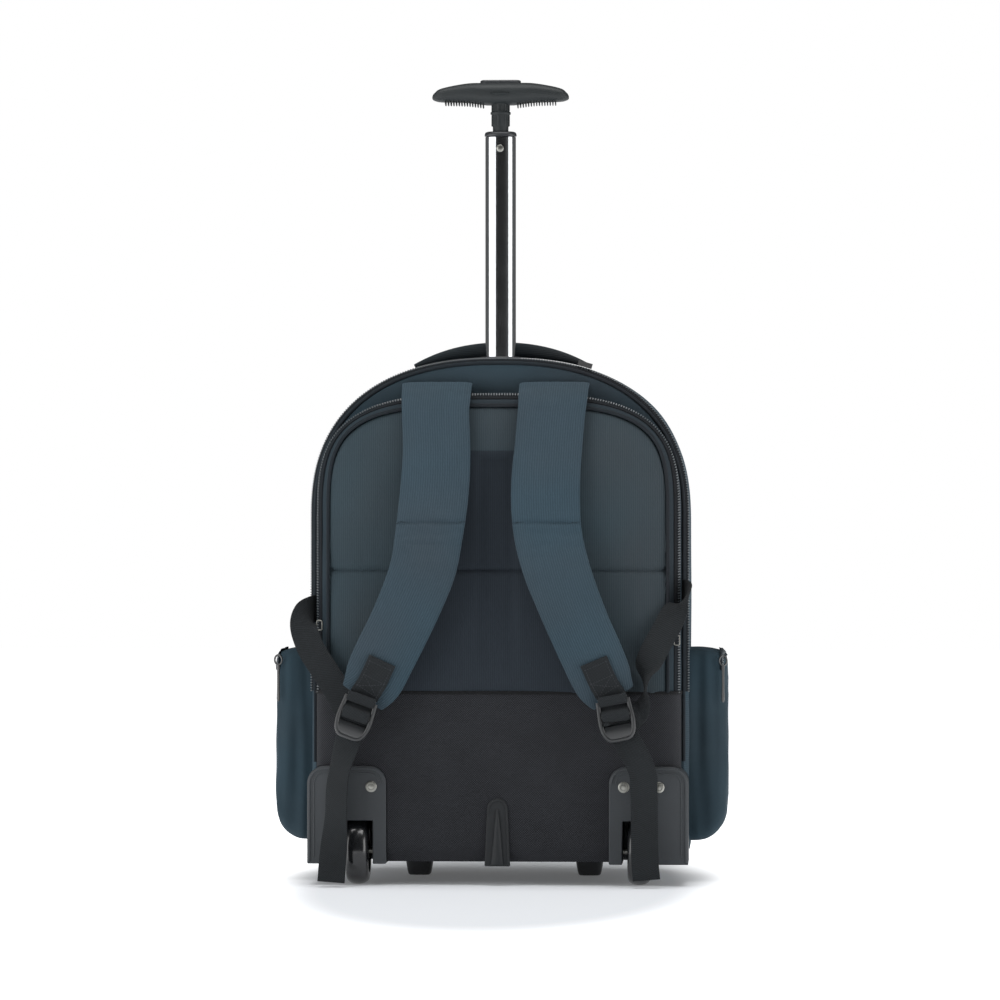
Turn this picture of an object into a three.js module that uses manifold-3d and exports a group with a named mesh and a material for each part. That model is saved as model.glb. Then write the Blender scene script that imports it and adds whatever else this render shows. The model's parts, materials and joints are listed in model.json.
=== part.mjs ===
// A wheeled backpack standing on its wheels and front feet, with its pull handle drawn out.
// Millimetres, +Z up. The back that faces the wearer, with the shoulder straps, looks along -Y.
// The origin lies on the floor, under the centre of the bag's bounding box.
import * as THREE from 'three';
import { mergeVertices } from 'three/addons/utils/BufferGeometryUtils.js';
import Module from 'manifold-3d';

const wasm = await Module();
wasm.setup();

// Cloth, clearances and facets
const CLOTH = 2;
const LAPTOP_ZIP = { start: 0.14, end: 0.4 };
const MAIN_ZIP = { start: 0.012, end: 0.055 };
const SEAT_GAP = 0.3;
const PIPING_RADIUS = 1.8;
const ZIP_THICKNESS = 1.5;
const ROUND_SIDES = 24;
const PIN_SIDES = 12;

// Bag, with depths counted forward from the plane of the back panel
const BAG_BOTTOM = 23;
const BAG_FOOT_RADIUS = 14;
const REAR_HALF_WIDTH = 165;
const REAR_TOP = 466;
const REAR_SHOULDER = 114;
const REAR_DEPTH = 30;
const REAR_SWELL = 12.5;
const REAR_POWER = 3.8;
const REAR_EDGE_POWER = 3.15;
const MAIN_HALF_WIDTH = 180;
const MAIN_TOP = 508;
const MAIN_SHOULDER = 150;
const MAIN_DEPTH = 138;
const MAIN_SWELL = 6.3;
const MAIN_POWER = 2.4;
const FRONT_BULGE = 36;
const FRONT_FLATTENING = 52;
const PANEL_THICKNESS = 6;
const PANEL_CROWN = 1.5;
const BAND_TOP = 187;

// Side pockets
const POCKET_DEPTH = 38;
const POCKET_HEIGHT = 188;
const POCKET_BOTTOM = 40;
const POCKET_LENGTH = 104;
const POCKET_START = 48;
const POCKET_CORNER = 12;

// Pull handle
const POLE_WIDTH = 30;
const POLE_DEPTH = 22;
const POLE_WALL = 1.5;
const POLE_CLEARANCE = 1;
const POLE_AT = 58;
const POLE_TRAVEL = 200;
const POLE_OVERLAP = 75;
const COLLAR_HEIGHT = 4.6;
const BEZEL_WALL = 2.5;
const BEZEL_HEIGHT = 18;
const GRIP_WIDTH = 134;
const GRIP_DEPTH = 30;
const GRIP_HEIGHT = 22;
const GRIP_RISE = 53;
const NECK_RADIUS = 8.6;
const BUTTON_LENGTH = 40;
const BUTTON_DEPTH = 13;
const BUTTON_HEIGHT = 8;
const BUTTON_PROUD = 2.6;
const BUTTON_TRAVEL = 2;
const BUTTON_CLEARANCE = 0.4;
const PIN_RADIUS = 3.6;
const PIN_DROP = 12;

// Carry handle
const CARRY_HALF_SPAN = 86;
const CARRY_WIDTH = 26;
const CARRY_THICKNESS = 15;
const CARRY_END = 0.28;
const CARRY_AT = 88;

// Wheels and their housings
const WHEEL_RADIUS = 32.5;
const WHEEL_WIDTH = 22;
const WHEEL_AT_X = 137;
const WHEEL_AT_Y = 20;
const RIM_RADIUS = 21;
const HUB_WIDTH = 19;
const HUB_WEB = 5.7;
const HUB_RIM = 3;
const BOSS_RADIUS = 8;
const AXLE_RADIUS = 3;
const AXLE_CLEARANCE = 0.4;
const SPACER_RADIUS = 5;
const HOUSING_INNER_X = 108;
const HOUSING_OUTER_X = 185;
const HOUSING_TOP = 116;
const HOUSING_BOTTOM = 21;
const HOUSING_PROUD = 5;
const HOUSING_DEPTH = 65;
const HOUSING_CORNER = 17;
const HOUSING_WALL = 3;
const WELL_WIDTH = 31.6;
const WELL_TOP = 63;
const WELL_CLEARANCE = 4;
const WELL_WALL = 2;
const SCREW_RADIUS = 5.4;
const SCREW_PROUD = 1.4;
const SCREW_HEIGHT = 96;
const SCREW_INSET = 14.5;
const SCREW_SPACING = 34;

// Kick plate and front feet
const KICK_WIDTH = 25;
const KICK_TOP = 85;
const KICK_BOTTOM = 19;
const KICK_THICKNESS = 4;
const KICK_TAPER = 0.82;
const KICK_SHOULDER = 0.8;
const KICK_ROUNDING = 0.8;
const KICK_RIDGE_SHOULDER = 0.5;
const KICK_RIDGE_WIDTH = 8;
const KICK_RIDGE = 3;
const FOOT_WIDTH = 30;
const FOOT_AT_X = 85;
const FOOT_AT_Y = 136;
const FOOT_TAPER = 3;

// Shoulder straps, webbing and buckles
const STRAP_WIDTH = 68;
const STRAP_THICKNESS = 13;
const STRAP_DROP = 306;
const STRAP_SPREAD = 100;
const STRAP_STAND_OFF = 32;
const STRAP_SEAT = 8.5;
const WEBBING_WIDTH = 26.5;
const WEBBING_THICKNESS = 1.6;
const TAB_WIDTH = 27.7;
const BUCKLE_WIDTH = 36;
const BUCKLE_HEIGHT = 42;
const BUCKLE_THICKNESS = 4.5;
const BUCKLE_BAR = 5;
const BUCKLE_RAIL = 4;

// Zip pullers
const PULLER_RING = 6;
const PULLER_WIRE = 1.6;
const PULLER_TAB = 34;
const PULLER_TAB_WIDTH = 4;
const LAPTOP_PULLER = { size: 0.5, swell: 0.7, left: 253, right: 239 };
const SLIDER_AT_X = 83;
const SLIDER_LENGTH = 14;
const SLIDER_HEIGHT = 5;
const SLIDER_DEPTH = 6;

// Share of the compartment's depth against share of its swell, from the rear edge forward.
const REAR_PROFILE = [
  { depth: 0.0, swell: 0.08 },
  { depth: 0.12, swell: 0.4 },
  { depth: 0.32, swell: 0.76 },
  { depth: 0.58, swell: 0.96 },
  { depth: 1.0, swell: 1.0 },
];
const MAIN_PROFILE = [
  { depth: 0.0, swell: 0.0 },
  { depth: 0.06, swell: 0.6 },
  { depth: 0.18, swell: 0.92 },
  { depth: 0.45, swell: 1.0 },
  { depth: 0.8, swell: 0.8 },
  { depth: 1.0, swell: 0.35 },
];
// The front panel swells forward: share of the bulge against share of the outline drawn in.
const FRONT_PROFILE = [
  { forward: 0.0, drawn: -0.03 },
  { forward: 0.38, drawn: 0.07 },
  { forward: 0.72, drawn: 0.3 },
  { forward: 0.93, drawn: 0.64 },
  { forward: 1.0, drawn: 1.0 },
];
// A side pocket from its mouth on the bag outwards, drawn in at the top, the bottom and both ends.
const POCKET_PROFILE = [
  { out: 0.0, top: 0.0, bottom: 0.0, ends: 0.0 },
  { out: 0.45, top: 0.0, bottom: 0.01, ends: 0.01 },
  { out: 0.78, top: 0.01, bottom: 0.06, ends: 0.04 },
  { out: 0.94, top: 0.03, bottom: 0.13, ends: 0.1 },
  { out: 1.0, top: 0.07, bottom: 0.24, ends: 0.2 },
];
// Half a tyre's section: share of the way out from the rim against share of its half width.
const TYRE_PROFILE = [
  { out: 0.0, across: -1.0 },
  { out: 0.35, across: -1.0 },
  { out: 0.605, across: -0.92 },
  { out: 0.873, across: -0.7 },
  { out: 1.0, across: -0.3 },
];
// Where a pocket's zip puller lies on its rear wall, in the same shares.
const PULLER_SEAT = { out: 0.82, ends: 0.028 };
// A shoulder strap from its seam down: over the rear compartment's top edge, then hanging free.
const STRAP_ROWS = [
  { down: 0.0, back: 1.0, out: 0.0, left: 0.6, right: 0.546, wide: 1.04, thick: 0.5 },
  { down: 0.0, back: 0.575, out: 0.0, left: 0.597, right: 0.545, wide: 1.03, thick: 0.52 },
  { down: 0.015, back: 0.2, out: 0.0, left: 0.594, right: 0.543, wide: 1.02, thick: 0.55 },
  { down: 0.044, back: 0.0, out: 0.22, left: 0.593, right: 0.54, wide: 1.01, thick: 0.62 },
  { down: 0.095, back: 0.0, out: 0.34, left: 0.596, right: 0.527, wide: 0.985, thick: 0.75 },
  { down: 0.201, back: 0.0, out: 0.43, left: 0.583, right: 0.5, wide: 0.985, thick: 0.9 },
  { down: 0.296, back: 0.0, out: 0.57, left: 0.59, right: 0.477, wide: 1.0, thick: 1.0 },
  { down: 0.392, back: 0.0, out: 0.72, left: 0.615, right: 0.476, wide: 1.0, thick: 1.0 },
  { down: 0.487, back: 0.0, out: 0.86, left: 0.652, right: 0.506, wide: 0.985, thick: 1.0 },
  { down: 0.582, back: 0.0, out: 0.97, left: 0.702, right: 0.58, wide: 0.965, thick: 1.0 },
  { down: 0.677, back: 0.0, out: 1.0, left: 0.807, right: 0.687, wide: 0.93, thick: 1.0 },
  { down: 0.772, back: 0.0, out: 0.985, left: 0.937, right: 0.806, wide: 0.91, thick: 1.0 },
  { down: 0.867, back: 0.0, out: 0.905, left: 1.084, right: 0.936, wide: 0.905, thick: 0.95 },
  { down: 0.942, back: 0.0, out: 0.81, left: 1.195, right: 1.038, wide: 0.86, thick: 0.8 },
  { down: 0.994, back: 0.0, out: 0.735, left: 1.3, right: 1.135, wide: 0.68, thick: 0.55 },
];
// The stretch of strap that the stitched webbing tab covers, as rows of the same kind.
const TAB_SPAN = [0.878, 0.942, 0.986];

const COLOURS = {
  teal: 0x3f4e57,
  deepTeal: 0x35444d,
  ballistic: 0x292c31,
  webbing: 0x26292c,
  plastic: 0x363a3f,
  blackPlastic: 0x1e2023,
  chrome: 0xd4d8dc,
  rubber: 0x1d1f22,
  nickel: 0xa9a9a4,
};

function material(colour, roughness, metalness = 0) {
  return new THREE.MeshStandardMaterial({ color: colour, roughness, metalness });
}

const fabric = material(COLOURS.teal, 0.9);
const darkFabric = material(COLOURS.deepTeal, 0.9);
const ballisticFabric = material(COLOURS.ballistic, 0.85);
const webbingCloth = material(COLOURS.webbing, 0.85);
const mattePlastic = material(COLOURS.plastic, 0.55);
const blackPlastic = material(COLOURS.blackPlastic, 0.45);
const chrome = material(COLOURS.chrome, 0.15, 1);
const rubber = material(COLOURS.rubber, 0.4);
const nickel = material(COLOURS.nickel, 0.35, 1);

const bag = new THREE.Group();

function addPiece(name, geometry, finish) {
  const mesh = new THREE.Mesh(geometry, finish);
  mesh.name = name;
  bag.add(mesh);
  return mesh;
}

// Solids from rings of points, and cuts between solids

function facingOut(geometry) {
  const place = geometry.attributes.position;
  const index = geometry.index.array;
  const [a, b, c] = [new THREE.Vector3(), new THREE.Vector3(), new THREE.Vector3()];
  let volume = 0;
  for (let i = 0; i < index.length; i += 3) {
    a.fromBufferAttribute(place, index[i]);
    b.fromBufferAttribute(place, index[i + 1]);
    c.fromBufferAttribute(place, index[i + 2]);
    volume += a.dot(b.cross(c));
  }
  if (volume < 0) index.reverse();
  return geometry;
}

// Skins closed rings in order. A wrapped skin joins the last ring to the first, as a gusset's inner and outer
// faces do; any other skin is closed by a fan over each end ring.
function skin(rings, wrapped = false) {
  const count = rings[0].length;
  const points = rings.flat();
  const triangles = [];
  const pairs = wrapped ? rings.length : rings.length - 1;
  for (let r = 0; r < pairs; r += 1) {
    const here = r * count;
    const next = ((r + 1) % rings.length) * count;
    for (let i = 0; i < count; i += 1) {
      const j = (i + 1) % count;
      triangles.push(here + i, here + j, next + j, here + i, next + j, next + i);
    }
  }
  if (!wrapped) {
    for (const [ring, turned] of [[0, true], [rings.length - 1, false]]) {
      const middle = rings[ring].reduce((sum, p) => sum.add(p), new THREE.Vector3()).divideScalar(count);
      const hub = points.push(middle) - 1;
      for (let i = 0; i < count; i += 1) {
        const [p, q] = [ring * count + i, ring * count + ((i + 1) % count)];
        triangles.push(hub, turned ? q : p, turned ? p : q);
      }
    }
  }
  const geometry = new THREE.BufferGeometry().setFromPoints(points);
  geometry.setIndex(triangles);
  return facingOut(geometry);
}

function toSolid(geometry) {
  const plain = geometry.clone();
  plain.deleteAttribute('normal');
  plain.deleteAttribute('uv');
  const merged = mergeVertices(plain, 1e-4);
  return new wasm.Manifold(new wasm.Mesh({
    numProp: 3,
    vertProperties: new Float32Array(merged.attributes.position.array),
    triVerts: new Uint32Array(merged.index.array),
  }));
}

function toGeometry(solid) {
  const mesh = solid.getMesh();
  const geometry = new THREE.BufferGeometry();
  geometry.setAttribute('position', new THREE.BufferAttribute(new Float32Array(mesh.vertProperties), 3));
  geometry.setIndex(Array.from(mesh.triVerts));
  return geometry;
}

function block(low, high) {
  const size = high.map((value, axis) => value - low[axis]);
  const centre = high.map((value, axis) => (value + low[axis]) / 2);
  return new THREE.BoxGeometry(...size).translate(...centre);
}

function cylinderAlong(axis, radius, length, centre, sides = PIN_SIDES) {
  const geometry = new THREE.CylinderGeometry(radius, radius, length, sides);
  if (axis === 'x') geometry.rotateZ(Math.PI / 2);
  if (axis === 'z') geometry.rotateX(Math.PI / 2);
  return geometry.translate(...centre);
}

// An outline drawn across X and up Z, extruded forward along Y between two depths.
function slab(outline, yFrom, yTo) {
  const geometry = new THREE.ExtrudeGeometry(new THREE.Shape(outline), { depth: yTo - yFrom, bevelEnabled: false });
  return geometry.rotateX(Math.PI / 2).translate(0, yTo, 0);
}

function mix(from, to, share) {
  return from + (to - from) * share;
}

// Bag outlines: a flat-topped arch on straight sides, seen from behind. Growing it moves the sides and the top
// outwards; lifting it raises the bottom.

const rearArch = {
  halfWidth: REAR_HALF_WIDTH, top: REAR_TOP, shoulder: REAR_SHOULDER, power: REAR_POWER,
};
const rearEdgeArch = { ...rearArch, power: REAR_EDGE_POWER };
const mainArch = {
  halfWidth: MAIN_HALF_WIDTH, top: MAIN_TOP, shoulder: MAIN_SHOULDER, power: MAIN_POWER,
};
const ARCH_STEPS = 26;
const CORNER_STEPS = 3;

function archOutline(arch, grow = 0, lift = 0) {
  const [width, rise] = [arch.halfWidth + grow, arch.shoulder + grow];
  const spring = arch.top - arch.shoulder;
  const bottom = BAG_BOTTOM + lift;
  const foot = Math.max(BAG_FOOT_RADIUS - lift, BAG_FOOT_RADIUS / 3);
  const points = [];
  for (let i = 0; i <= ARCH_STEPS; i += 1) {
    const angle = (Math.PI * i) / ARCH_STEPS;
    const across = Math.sign(Math.cos(angle)) * Math.abs(Math.cos(angle)) ** (2 / arch.power);
    const up = Math.max(Math.sin(angle), 0) ** (2 / arch.power);
    points.push(new THREE.Vector2(width * across, spring + rise * up));
  }
  for (const side of [-1, 1]) {
    for (let i = 0; i <= CORNER_STEPS; i += 1) {
      const angle = ((Math.PI / 2) * i) / CORNER_STEPS;
      const turn = side < 0 ? angle : Math.PI / 2 - angle;
      points.push(new THREE.Vector2(
        side * (width - foot + foot * Math.cos(turn)),
        bottom + foot - foot * Math.sin(turn),
      ));
    }
  }
  return points;
}

function archHeight(arch, x, grow = 0) {
  const share = Math.abs(x) / (arch.halfWidth + grow);
  return arch.top - arch.shoulder + (arch.shoulder + grow) * (1 - share ** arch.power) ** (1 / arch.power);
}

function atDepth(outline, y) {
  return outline.map((p) => new THREE.Vector3(p.x, y, p.y));
}

function rearSection(row, extra = 0, lift = 0) {
  const arch = { ...rearArch, power: mix(REAR_POWER, REAR_EDGE_POWER, row.swell) };
  return archOutline(arch, row.swell * REAR_SWELL + extra, lift);
}

function mainSection(row, extra = 0, lift = 0) {
  return archOutline(mainArch, row.swell * MAIN_SWELL + extra, lift);
}

function shell(outer, inner) {
  return skin([...outer, ...inner.reverse()], true);
}

function gussetShell(profile, section, from, depth) {
  const outer = profile.map((row) => atDepth(section(row), from + row.depth * depth));
  const inner = profile.map((row) => atDepth(section(row, -CLOTH, CLOTH), from + row.depth * depth));
  return shell(outer, inner);
}

// A strip of zip that follows a gusset's surface between two shares of its depth.
function zipStrip(profile, section, from, depth, { start, end }) {
  const steps = [start, (start + end) / 2, end].map((share) => {
    const next = Math.max(profile.findIndex((row) => row.depth >= share), 1);
    const [low, high] = [profile[next - 1], profile[next]];
    const along = (share - low.depth) / (high.depth - low.depth);
    return { depth: share, swell: mix(low.swell, high.swell, along) };
  });
  const under = 2 * SEAT_GAP;
  const outer = steps.map((row) => atDepth(section(row, under + ZIP_THICKNESS), from + row.depth * depth));
  const inner = steps.map((row) => atDepth(section(row, under, -under), from + row.depth * depth));
  return shell(outer, inner);
}

// A round cord sewn along an outline, as a closed loop.
function piping(outline, y) {
  const sides = 6;
  const rings = outline.map((point, i) => {
    const before = outline[(i + outline.length - 1) % outline.length];
    const after = outline[(i + 1) % outline.length];
    const away = new THREE.Vector2(after.y - before.y, before.x - after.x).normalize();
    return Array.from({ length: sides }, (_, k) => {
      const angle = (2 * Math.PI * k) / sides;
      const reach = PIPING_RADIUS * Math.cos(angle);
      return new THREE.Vector3(
        point.x + away.x * reach, y + PIPING_RADIUS * Math.sin(angle), point.y + away.y * reach,
      );
    });
  });
  return skin(rings, true);
}

// Depths of the bag's layers, from the back panel forward.
const PIPING_ROOM = PIPING_RADIUS + SEAT_GAP;
const REAR_FROM = PIPING_RADIUS;
const REAR_TO = REAR_DEPTH - SEAT_GAP;
const MAIN_FROM = REAR_DEPTH + CLOTH / 2 + PIPING_ROOM;
const FRONT_FROM = MAIN_FROM + MAIN_DEPTH + SEAT_GAP;
const REAR_OUTER_HALF = REAR_HALF_WIDTH + REAR_SWELL;
const REAR_OUTER_TOP = REAR_TOP + REAR_SWELL;
const MAIN_OUTER_HALF = MAIN_HALF_WIDTH + MAIN_SWELL;
const FAR = 60;

// Wheel housings: the corner that the bag's cloth leaves free for them
function housingOutline(side, inset = 0) {
  const inner = HOUSING_INNER_X + inset;
  const outer = HOUSING_OUTER_X - inset;
  const top = HOUSING_TOP - inset;
  const corner = HOUSING_CORNER - inset;
  const points = [new THREE.Vector2(inner, HOUSING_BOTTOM + inset), new THREE.Vector2(outer, HOUSING_BOTTOM + inset)];
  for (const [centre, from] of [[outer - corner, 0], [inner + corner, Math.PI / 2]]) {
    for (let i = 0; i <= CORNER_STEPS; i += 1) {
      const angle = from + ((Math.PI / 2) * i) / CORNER_STEPS;
      points.push(new THREE.Vector2(centre + corner * Math.cos(angle), top - corner + corner * Math.sin(angle)));
    }
  }
  return points.map((p) => new THREE.Vector2(side * p.x, p.y));
}

// Everything outside the housings' corners is kept; the two corners are taken off.
function clearOfHousings(geometry) {
  const corners = [-1, 1].map((side) => {
    const outline = housingOutline(side, -SEAT_GAP);
    const reach = [
      new THREE.Vector2(side * (HOUSING_OUTER_X - HOUSING_CORNER), -FAR),
      new THREE.Vector2(side * (HOUSING_OUTER_X + FAR), -FAR),
      new THREE.Vector2(side * (HOUSING_OUTER_X + FAR), HOUSING_TOP + SEAT_GAP),
      new THREE.Vector2(side * (HOUSING_OUTER_X - HOUSING_CORNER), HOUSING_TOP + SEAT_GAP),
    ];
    const below = block(
      [side > 0 ? HOUSING_INNER_X - SEAT_GAP : -HOUSING_OUTER_X, -FAR, -FAR],
      [side > 0 ? HOUSING_OUTER_X : -HOUSING_INNER_X + SEAT_GAP, HOUSING_DEPTH - HOUSING_PROUD + SEAT_GAP, HOUSING_BOTTOM + 1],
    );
    const front = HOUSING_DEPTH - HOUSING_PROUD + SEAT_GAP;
    return toSolid(slab(outline, -FAR, front)).add(toSolid(slab(reach, -FAR, front))).add(toSolid(below));
  });
  return toGeometry(corners.reduce((kept, corner) => kept.subtract(corner), toSolid(geometry)));
}

// What stops on the housings' tops, such as a cord or a gusset that they interrupt.
function aboveHousings(geometry) {
  const above = block([-FAR * 5, -FAR, HOUSING_TOP + SEAT_GAP], [FAR * 5, FAR * 5, MAIN_TOP + FAR]);
  return toGeometry(toSolid(geometry).intersect(toSolid(above)));
}

function addRearCompartment() {
  const panelLow = -PANEL_CROWN;
  const panelHigh = PANEL_THICKNESS - PANEL_CROWN;
  const inset = -PIPING_ROOM - SEAT_GAP;
  const panel = skin([
    atDepth(archOutline(rearArch, inset - 6, 6), panelLow),
    atDepth(archOutline(rearArch, inset - 1, 1), panelLow + PANEL_CROWN),
    atDepth(archOutline(rearArch, inset, -inset), panelHigh),
  ]);
  const above = block([-FAR * 5, -FAR, BAND_TOP + SEAT_GAP], [FAR * 5, FAR, MAIN_TOP + FAR]);
  addPiece('back_panel', toGeometry(toSolid(panel).intersect(toSolid(above))), fabric);

  const plate = skin([
    atDepth(archOutline(rearArch, inset), -CLOTH / 2),
    atDepth(archOutline(rearArch, inset), CLOTH / 2),
  ]);
  const under = block([-FAR * 5, -FAR, -FAR], [FAR * 5, FAR, BAND_TOP]);
  const floorHalf = HOUSING_INNER_X - SEAT_GAP;
  const floor = block([-floorHalf, -CLOTH / 2, BAG_BOTTOM], [floorHalf, REAR_TO, BAG_BOTTOM + CLOTH]);
  const band = toSolid(plate).intersect(toSolid(under)).add(toSolid(floor));
  addPiece('base_panel', clearOfHousings(toGeometry(band)), ballisticFabric);

  const gusset = gussetShell(REAR_PROFILE, rearSection, REAR_FROM, REAR_TO - REAR_FROM);
  addPiece('rear_gusset', aboveHousings(gusset), darkFabric);
  addPiece('rear_piping', aboveHousings(piping(archOutline(rearArch), -SEAT_GAP)), darkFabric);
  const zip = zipStrip(REAR_PROFILE, rearSection, REAR_FROM, REAR_TO - REAR_FROM, LAPTOP_ZIP);
  const zipEnd = toSolid(block([-FAR * 5, -FAR, BAND_TOP], [FAR * 5, FAR * 2, MAIN_TOP + FAR]));
  addPiece('laptop_zip', toGeometry(toSolid(zip).intersect(zipEnd)), blackPlastic);
}

function ovalPrism(width, depth, low, high, y, sides = ROUND_SIDES) {
  const geometry = new THREE.CylinderGeometry(0.5, 0.5, high - low, sides).rotateX(Math.PI / 2);
  return geometry.scale(width, depth, 1).translate(0, y, (high + low) / 2);
}

const OUTER_TUBE_WALL = POLE_WALL + POLE_CLEARANCE;
const OUTER_TUBE_WIDTH = POLE_WIDTH + 2 * OUTER_TUBE_WALL;
const OUTER_TUBE_DEPTH = POLE_DEPTH + 2 * OUTER_TUBE_WALL;
const BEZEL_WIDTH = OUTER_TUBE_WIDTH + 2 * BEZEL_WALL;
const BEZEL_DEPTH = OUTER_TUBE_DEPTH + 2 * BEZEL_WALL;
const GUSSET_TOP = MAIN_TOP + MAIN_SWELL;

function addMainCompartment() {
  const divider = skin([
    atDepth(archOutline(mainArch, -PIPING_ROOM, 0), REAR_DEPTH),
    atDepth(archOutline(mainArch, -PIPING_ROOM, 0), REAR_DEPTH + CLOTH),
  ]);
  addPiece('divider_panel', clearOfHousings(divider), fabric);
  addPiece('main_piping', aboveHousings(piping(archOutline(mainArch), REAR_DEPTH + CLOTH / 2)), darkFabric);

  const gusset = gussetShell(MAIN_PROFILE, mainSection, MAIN_FROM, MAIN_DEPTH);
  const slot = ovalPrism(
    BEZEL_WIDTH + 2 * SEAT_GAP, BEZEL_DEPTH + 2 * SEAT_GAP, GUSSET_TOP - FAR, GUSSET_TOP + FAR, POLE_AT,
  );
  const open = toGeometry(toSolid(gusset).subtract(toSolid(slot)));
  addPiece('main_gusset', clearOfHousings(open), fabric);

  const zip = zipStrip(MAIN_PROFILE, mainSection, MAIN_FROM, MAIN_DEPTH, MAIN_ZIP);
  const zipEnd = toSolid(block([-FAR * 5, -FAR, BAND_TOP], [FAR * 5, FAR * 2, MAIN_TOP + FAR]));
  addPiece('main_zip', toGeometry(toSolid(zip).intersect(zipEnd)), blackPlastic);

  const frontRow = (row, thin) => {
    const drawn = row.drawn * FRONT_FLATTENING;
    const y = FRONT_FROM + row.forward * (FRONT_BULGE - thin);
    const rim = MAIN_PROFILE.at(-1).swell * MAIN_SWELL;
    return atDepth(archOutline(mainArch, rim - drawn - thin, Math.max(drawn, 0) + thin), y);
  };
  const outer = FRONT_PROFILE.map((row) => frontRow(row, 0)).reverse();
  const inner = FRONT_PROFILE.map((row) => frontRow(row, CLOTH));
  addPiece('front_panel', skin([...outer, ...inner]), fabric);
}

// Side pockets, open towards the bag's side that they are sewn to
function pocketRing(side, row, thin) {
  const reach = MAIN_OUTER_HALF - MAIN_SWELL + row.out * (POCKET_DEPTH + MAIN_SWELL - thin);
  const low = POCKET_BOTTOM + row.bottom * POCKET_HEIGHT + thin;
  const high = POCKET_BOTTOM + POCKET_HEIGHT - row.top * POCKET_HEIGHT - thin;
  const near = POCKET_START + row.ends * POCKET_LENGTH + thin;
  const far = POCKET_START + POCKET_LENGTH * (1 - row.ends) - thin;
  const corner = POCKET_CORNER - thin;
  const ring = [];
  const corners = [[far, high, 0], [near, high, 1], [near, low, 2], [far, low, 3]];
  for (const [y, z, quarter] of corners) {
    const [cy, cz] = [y === far ? y - corner : y + corner, z === high ? z - corner : z + corner];
    for (let i = 0; i <= CORNER_STEPS; i += 1) {
      const angle = (Math.PI / 2) * (quarter + i / CORNER_STEPS);
      ring.push(new THREE.Vector3(side * reach, cy + corner * Math.cos(angle), cz + corner * Math.sin(angle)));
    }
  }
  return ring;
}

function addSidePocket(side, label) {
  const outer = POCKET_PROFILE.map((row) => pocketRing(side, row, 0)).reverse();
  const inner = POCKET_PROFILE.map((row) => pocketRing(side, row, CLOTH));
  const bagSide = skin(MAIN_PROFILE.map((row) => (
    atDepth(mainSection(row, 2 * SEAT_GAP, 0), MAIN_FROM + row.depth * MAIN_DEPTH)
  )));
  const pocket = toSolid(skin([...outer, ...inner])).subtract(toSolid(bagSide));
  addPiece(`side_pocket_${label}`, clearOfHousings(toGeometry(pocket)), darkFabric);

  const seat = POCKET_START + PULLER_SEAT.ends * POCKET_LENGTH - PULLER_WIRE - SEAT_GAP;
  const high = POCKET_BOTTOM + POCKET_HEIGHT - POCKET_CORNER;
  const at = [side * (MAIN_HALF_WIDTH + PULLER_SEAT.out * (POCKET_DEPTH + MAIN_SWELL)), seat, high];
  addPiece(`pocket_puller_${label}`, puller(PULLER_TAB).translate(...at), nickel);
}

// A zip puller: a wire ring with a slim tab hanging from it, in the plane that looks backwards.
function puller(tabLength) {
  const ring = new THREE.TorusGeometry(PULLER_RING, PULLER_WIRE, 5, 12).rotateX(Math.PI / 2);
  const depth = PULLER_RING + PULLER_WIRE;
  const shift = -depth;
  const tab = block(
    [-PULLER_TAB_WIDTH / 2, -PULLER_WIRE / 2, shift - tabLength],
    [PULLER_TAB_WIDTH / 2, PULLER_WIRE / 2, shift + PULLER_WIRE],
  );
  return toGeometry(toSolid(ring).add(toSolid(tab)));
}

// Telescopic pull handle: an outer tube inside the bag, the drawn inner tube, its collar, grip and button
const TUBE_FOOT = BAG_BOTTOM + CLOTH + SEAT_GAP;
const BEZEL_TOP = GUSSET_TOP + SEAT_GAP;
const POLE_TOP = BEZEL_TOP + POLE_TRAVEL + PIN_DROP + PIN_RADIUS + 2 * SEAT_GAP;
const GRIP_TOP = POLE_TOP + GRIP_RISE;

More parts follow.
